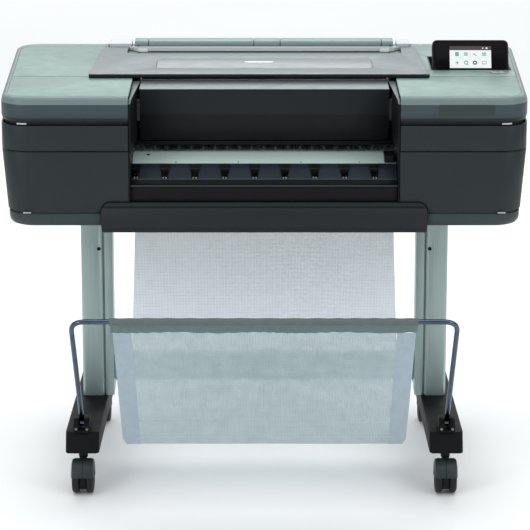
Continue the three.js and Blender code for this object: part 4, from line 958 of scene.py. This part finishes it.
show(
    "display_icons_grey",
    [
        ring_on_screen(icons[2], lower, 5.4, 2.2, 0.3),
        on_screen(icons[3], lower, 11, 8, 0.3, 1.0),
        on_screen(icons[0], lower, 1.4, 9, 0.3, 0.5),
        on_screen(icons[0], lower, 7.5, 1.4, 0.3, 0.5),
    ],
    grey_light,
)
show("display_icons_white", [on_screen(icons[3], lower, 9, 6, 0.44, 0.6)], white_light)
show(
    "display_icons_pink",
    [
        on_screen(icons[2] - 1.6, upper, 5.4, 2.4, 0.3, 1.1),
        on_screen(icons[2] + 2, upper - 3, 4, 2, 0.3, 0.9),
    ],
    pink_light,
)
fit("panel_pinhole", rod(1.7, at(410.6, 327.6, 301.9), 0.35, "Z"), black)
button_ring = top_face(plate(at(536, 299.8, 301.7), at(572, 320.2, 302.25), 0.0101))
fit("button_surround", hollow_ring(button_ring, 0.0026, 0.0002), zinc)
mark = block(at(550, 309.2, 303.4), at(558, 310.8, 303.62), 0.0001)
fit("button_bar", mark, black, "power_button")

# ---- Ink bays ----
INK_EDGE, INK_PITCH, INK_HALF = 331.5, 73.83, 36.9
INK_TONES = {
    "left": (tone(40, 120, 170), tone(176, 60, 110), tone(212, 186, 66)),
    "right": (tone(30, 31, 34), tone(96, 100, 104), tone(150, 154, 158)),
}
for side, sign in SIDES.items():
    for number, ink in enumerate(INK_TONES[side]):
        colour = moulded(f"{side}_ink_label_{number}", ink, 0.35, grain=0.5, depth=0.01, coat=0.4)
        middle = sign * (INK_EDGE + INK_PITCH * number + INK_HALF)
        label = plate(at(middle - 24, 32.2, 196), at(middle + 24, 33.2, 224), 0.003, axis=1)
        fit(f"{side}_ink_label_{number + 1}", label, colour)

# ---- Casters ----
HOOD = [(15, -26.8), (35, -26.8), (40.4, -24.6), (42.2, -19), (42.2, 19), (40.4, 24.6)]
HOOD += [(35, 26.8), (15, 26.8), (15, 26), (34.6, 26), (39.8, 24), (41, 18.7)]
HOOD += [(41, -18.7), (39.8, -24), (34.6, -26), (15, -26)]
HOOD_SEAM = [(42.3, -0.5), (42.9, -0.4), (42.9, 0.4), (42.3, 0.5)]
HOOD_START, HOOD_SWEEP = 76, 184
WHEEL = [(0, 9), (36.5, 9), (39.2, 10.2), (40, 12.4), (40, 19), (39.1, 22), (36.8, 24.4), (33, 25.6)]
WHEEL += [(29.5, 25.6), (28.4, 23.8), (12.5, 23.8), (11.2, 25.6), (0, 25.9)]
for side in SIDES:
    for end in ("front", "rear"):
        stem = f"{side}_{end}_caster"
        low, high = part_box(stem + "_wheel")
        centre = (low + high) / 2
        hood = turned(HOOD, centre, "X", HOOD_START, HOOD_SWEEP, 30, closed=True)
        fit(stem + "_hood", hood, hood_grey, stem)
        seam = turned(HOOD_SEAM, centre, "X", HOOD_START, HOOD_SWEEP, 30, closed=True)
        fit(stem + "_hood_seam", seam, black, stem)
        halves = [turned(WHEEL, centre, "X", steps=40)]
        across = Vector((-centre.x, centre.y, centre.z))
        halves.append(mirrored(turned(WHEEL, across, "X", steps=40)))
        halves.append(rod(5, centre, 11, steps=16))
        wheel = fit(stem + "_wheel_turned", halves, tyre, f"{side}_{end}_wheel")
        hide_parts(stem + "_wheel")

# ---- Stand fittings ----
for side, sign in SIDES.items():
    heads = [screw_head(on_floor(sign * 391.3, 365.4, 656), (0, -1, 0), 3.4)]
    heads += [screw_head(on_floor(sign * x, 64.6, 157), (0, -1, 0), 3.6) for x in (419, 445)]
    heads += [screw_head(on_floor(sign * 420, depth, 147), (0, 0, 1), 4.2) for depth in (452, 560)]
    fit(side + "_stand_screws", heads, bright_steel)
    plug = screw_head(on_floor(sign * 402.5, 361.6, 520.4), (0, -1, 0), 4.6)
    fit(side + "_leg_plug", plug, black)
    cap = block(on_floor(sign * 418 - 34, 689.2, 106), on_floor(sign * 418 + 34, 691.4, 142), 0.0012)
    fit(side + "_foot_end_cap", cap, black)

# ---- Back of the machine ----
seams = [block(at(-308, 699.4, z), at(308, 700.5, z + 1.6), 0.0004) for z in (96, 214)]
fit("rear_seams", seams, black)
slats = [
    block(at(x, 699.5, 120), at(x + 4.5, 701.2, 190), 0.0006) for x in range(-250, -30, 10)
]
fit("rear_vent_slats", slats, black)
fit(
    "rear_vent_frame",
    [
        block(at(-256, 699.5, 114), at(-24, 701.6, 117.5), 0.0006),
        block(at(-256, 699.5, 192.5), at(-24, 701.6, 196), 0.0006),
        block(at(-256, 699.5, 114), at(-252.5, 701.6, 196), 0.0006),
        block(at(-27.5, 699.5, 114), at(-24, 701.6, 196), 0.0006),
    ],
    rear_grey,
)
label = plate(at(60, 699.6, 130), at(150, 700.4, 180), 0.003, axis=1)
fit("rear_blank_label", label, white_plastic)
sockets = [
    plate(at(x, 699.4, 64), at(x + wide, 701, 78), 0.001, axis=1)
    for x, wide in ((60, 18), (84, 15), (104, 15))
]
fit("rear_sockets", sockets, black)
inlet_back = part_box("power_inlet")[1].y
pins = [
    block(
        Vector((x / 1000, inlet_back - 0.016, z - 0.002)),
        Vector((x / 1000 + 0.0022, inlet_back - 0.004, z + 0.002)),
        0.0004,
    )
    for x, z in ((219, UNDERSIDE + 0.0675), (225, UNDERSIDE + 0.0725), (231, UNDERSIDE + 0.0675))
]
fit("inlet_pins", pins, bright_steel)
switch = block(at(243, 699.5, 60), at(257, 701.8, 80), 0.001)
fit("inlet_switch", switch, bezel_black)
screws = [
    screw_head(at(x, BODY_DEPTH, z), (0, 1, 0), 3.6) for x in (-296, 296) for z in (46, 286)
]
screws += [screw_head(at(x, BODY_DEPTH, 155), (0, 1, 0), 3.6) for x in (-296, 0, 296)]
fit("rear_screws", screws, bright_steel)

# ---- Basket ----
BAR = on_floor(0, -110, 470)
BAR_PIVOT = on_floor(432, 95, 165)
BAR_CORNER = on_floor(441, -110, 470)
BEND = 0.034


def bar_path():
    """The middle line of the bent bar, from one pivot over to the other."""
    low = BAR_CORNER + (BAR_PIVOT - BAR_CORNER).normalized() * BEND
    high = BAR_CORNER - Vector((BEND, 0, 0))
    points = [BAR_PIVOT, BAR_PIVOT.lerp(low, 0.5)]
    for i in range(15):
        t = i / 14
        points.append(low.lerp(BAR_CORNER, t).lerp(BAR_CORNER.lerp(high, t), t))
    points.append(Vector((0, high.y, high.z)))
    return points + [Vector((-p.x, p.y, p.z)) for p in reversed(points[:-1])]


def bent_tube(points, radius):
    """A round tube along a path that lies in one plane."""
    shape = bmesh.new()
    flat = (points[1] - points[0]).cross(Vector((1, 0, 0))).normalized()
    rings = []
    for i, point in enumerate(points):
        along = (points[min(i + 1, len(points) - 1)] - points[max(i - 1, 0)]).normalized()
        side = along.cross(flat)
        turn = Matrix((flat, side, along)).transposed().to_4x4()
        made = bmesh.ops.create_circle(
            shape, segments=20, radius=radius, matrix=Matrix.Translation(point) @ turn
        )
        rings.append(set(made["verts"]))
    loops = [
        [e for e in shape.edges if e.verts[0] in ring and e.verts[1] in ring] for ring in rings
    ]
    for first, second in zip(loops, loops[1:]):
        bmesh.ops.bridge_loops(shape, edges=first + second)
    bmesh.ops.holes_fill(shape, edges=open_edges(shape))
    bmesh.ops.recalc_face_normals(shape, faces=shape.faces)
    return shape


EYE = [(4.5, -5), (9.4, -5), (10, -4.4), (10, 4.4), (9.4, 5), (4.5, 5)]
bar_shapes = [bent_tube(bar_path(), 0.006)]
for sign in (-1, 1):
    bar_shapes.append(turned(EYE, Vector((sign * BAR_PIVOT.x, *BAR_PIVOT.yz)), "X", closed=True))
bar = fit("basket_bar_bent", bar_shapes, chrome_bar, "basket_bar")
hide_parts("basket_bar")
FOLD = on_floor(0, 57, 123)
HEM = on_floor(0, -97, 441)
REAR_TOP = (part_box("basket_rear_rod")[0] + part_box("basket_rear_rod")[1]) / 2
REAR_LOW = on_floor(0, 57.5, 122.8)


def cloth(name, finish, size, steps, place):
    """A cloth grid: place(u, v) gives each point, and the UV is the cut's own metres."""
    shape = bmesh.new()
    layer = shape.loops.layers.uv.new("UVMap")
    bmesh.ops.create_grid(shape, x_segments=steps[0], y_segments=steps[1], size=0.5, calc_uvs=False)
    spots = {vert: (vert.co.x + 0.5, vert.co.y + 0.5) for vert in shape.verts}
    for face in shape.faces:
        for loop in face.loops:
            u, v = spots[loop.vert]
            loop[layer].uv = (u * size[0], v * size[1])
    for vert, (u, v) in spots.items():
        vert.co = place(u, v)
    made = bpy.data.objects.new(name, make_mesh(name, shape, finish))
    bpy.context.scene.collection.objects.link(made)
    return made


HALF_LOW, HALF_HIGH = 0.333, 0.346


def front_face(u, v, lift=0.0):
    """The front sheet from its fold up to its hem: bowed out by its own weight and rippled."""
    base = FOLD.lerp(HEM, v)
    half = HALF_LOW + (HALF_HIGH - HALF_LOW) * v
    x = (2 * u - 1) * half
    if v < 0.05:  # the cut's lower corners are taken off
        corner = 1 - v / 0.05
        x = max(-half + 0.008 * corner, min(half - 0.008 * corner, x))
    normal = Vector((0, -(HEM.z - FOLD.z), HEM.y - FOLD.y)).normalized()
    bow = 0.007 * math.sin(math.pi * v) * (0.6 + 0.4 * math.sin(math.pi * u))
    ripple = 0.0006 * v * v * math.sin(58 * u + 2.2 * math.sin(9 * u))
    ripple += 0.0005 * math.sin(19 * u + 5 * v) * math.sin(math.pi * v)
    point = base + normal * (bow + ripple + lift)
    point.x = x
    return point


net_cloth = net("basket_net", tone(158, 176, 178), share=0.34, fill=0.3, stripe=0.2)
rear_net = net("basket_rear_net", tone(216, 232, 242), share=0.3, fill=0.58, stripe=1.3)
ribbon = woven("basket_ribbon", tone(160, 176, 186))
sleeve_cloth = woven("basket_sleeve_cloth", tone(86, 98, 99), sheen=0.2)
FRONT_LENGTH = (HEM - FOLD).length
REAR_LENGTH = (REAR_TOP - REAR_LOW).length

front_sheet = cloth("basket_front_net", net_cloth, (0.684, FRONT_LENGTH), (120, 60), front_face)
strips = []
for side, start in (("left", 0.0), ("right", 0.938)):
    strip = cloth(
        f"basket_{side}_ribbon",
        ribbon,
        (0.043, FRONT_LENGTH),
        (6, 60),
        lambda u, v, start=start: front_face(start + 0.062 * u, v, lift=0.0008),
    )
    strips.append(strip)


def hem_place(u, v):
    """The gathered hem hanging from the sleeve."""
    base = HEM.lerp(BAR + Vector((0, 0.004, -0.008)), v)
    gather = 0.0022 * (1 - 0.55 * v) * math.sin(150 * u + 6 * math.sin(11 * u))
    point = base + Vector((0, gather - 0.0016, -0.0012 * (1 - v) * math.sin(23 * u)))
    point.x = (2 * u - 1) * 0.350
    return point


hem_cloth = woven("basket_hem_cloth", tone(94, 116, 116), sheen=0.2)
hem = cloth("basket_hem", hem_cloth, (0.73, 0.024), (260, 6), hem_place)


def sleeve_place(u, v):
    """The sleeve round the bar, a little slack underneath."""
    angle = 2 * math.pi * v
    wrinkle = 0.00045 * math.sin(90 * u + 3 * math.sin(7 * u) + 2 * math.sin(angle))
    radius = 0.0084 + wrinkle + 0.0022 * max(0.0, -math.cos(angle))
    point = BAR + Vector((0, radius * math.sin(angle), radius * math.cos(angle)))
    point.x = -0.353 + 0.703 * u
    return point


sleeve = cloth("basket_sleeve", sleeve_cloth, (0.703, 0.058), (180, 20), sleeve_place)


def rear_place(u, v):
    """The rear sheet from the fold up to its rod, sagging a little between them."""
    base = REAR_LOW.lerp(REAR_TOP, v)
    normal = Vector((0, -(REAR_TOP.z - REAR_LOW.z), REAR_TOP.y - REAR_LOW.y)).normalized()
    sag = -0.008 * math.sin(math.pi * v) * (0.5 + 0.5 * math.sin(math.pi * u))
    wave = 0.0012 * math.sin(14 * u + 3 * v)
    point = base + normal * (sag + wave)
    point.x = (2 * u - 1) * 0.318
    return point


rear_sheet = cloth("basket_rear_net_sheet", rear_net, (0.636, REAR_LENGTH), (80, 90), rear_place)
for piece in (front_sheet, *strips):
    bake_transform(piece)
for piece in (hem, sleeve):
    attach(piece, "basket_bar")
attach(rear_sheet, "frame")
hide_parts("basket_front_sheet")
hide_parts("basket_rear_sheet")


# ---- Floor, light and camera ----
def lay_floor():
    """A wide pale floor with a faint unevenness."""
    shape = bmesh.new()
    bmesh.ops.create_grid(shape, x_segments=2, y_segments=2, size=30)
    finish = Finish("pale_floor", 0.6)
    cloud = finish.spread(finish.texture(0.6, 2), 0, 1)
    finish.colour(finish.blend(cloud, (0.9, 0.905, 0.91, 1), (0.93, 0.935, 0.94, 1)))
    floor = bpy.data.objects.new("floor", make_mesh("floor", shape, finish))
    bpy.context.scene.collection.objects.link(floor)
    floor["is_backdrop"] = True


def soft_light(name, place, aim, size, power):
    """A wide rectangular lamp turned towards a point."""
    data = bpy.data.lights.new(name, "AREA")
    data.shape = "RECTANGLE"
    data.size, data.size_y = size
    data.energy = power
    lamp = bpy.data.objects.new(name, data)
    lamp.location = place
    lamp.rotation_euler = (Vector(aim) - Vector(place)).to_track_quat("-Z", "Y").to_euler()
    bpy.context.scene.collection.objects.link(lamp)


def light_studio():
    world = bpy.data.worlds.new("studio")
    world.use_nodes = True
    background = world.node_tree.nodes["Background"]
    background.inputs["Color"].default_value = (0.95, 0.98, 1.0, 1)
    background.inputs["Strength"].default_value = 0.62
    bpy.context.scene.world = world
    soft_light("overhead", (0, -0.6, 3.4), (0, 0, 0.6), (4.0, 2.6), 48)
    soft_light("front_left", (-3.2, -3.6, 2.2), (0, 0, 0.6), (1.6, 2.4), 46)
    soft_light("front_right", (3.4, -3.2, 2.4), (0, 0, 0.6), (1.4, 2.4), 40)
    soft_light("backdrop", (0, 9, 8), (0, 7, 0), (16, 8), 560)
    soft_light("back", (0, 3.2, 2.6), (0, 0.2, 0.9), (3.4, 1.6), 40)


def set_camera():
    data = bpy.data.cameras.new("camera")
    data.sensor_width = 36
    data.lens = 191.14
    data.clip_end = 100
    camera = bpy.data.objects.new("camera", data)
    camera.location = (0.0016, -6.559, 2.22195)
    camera.rotation_euler = (math.radians(75.274), 0, 0)
    bpy.context.scene.collection.objects.link(camera)
    bpy.context.scene.camera = camera


lay_floor()
light_studio()
set_camera()
bpy.context.scene.view_settings.view_transform = "Standard"

low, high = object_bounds()
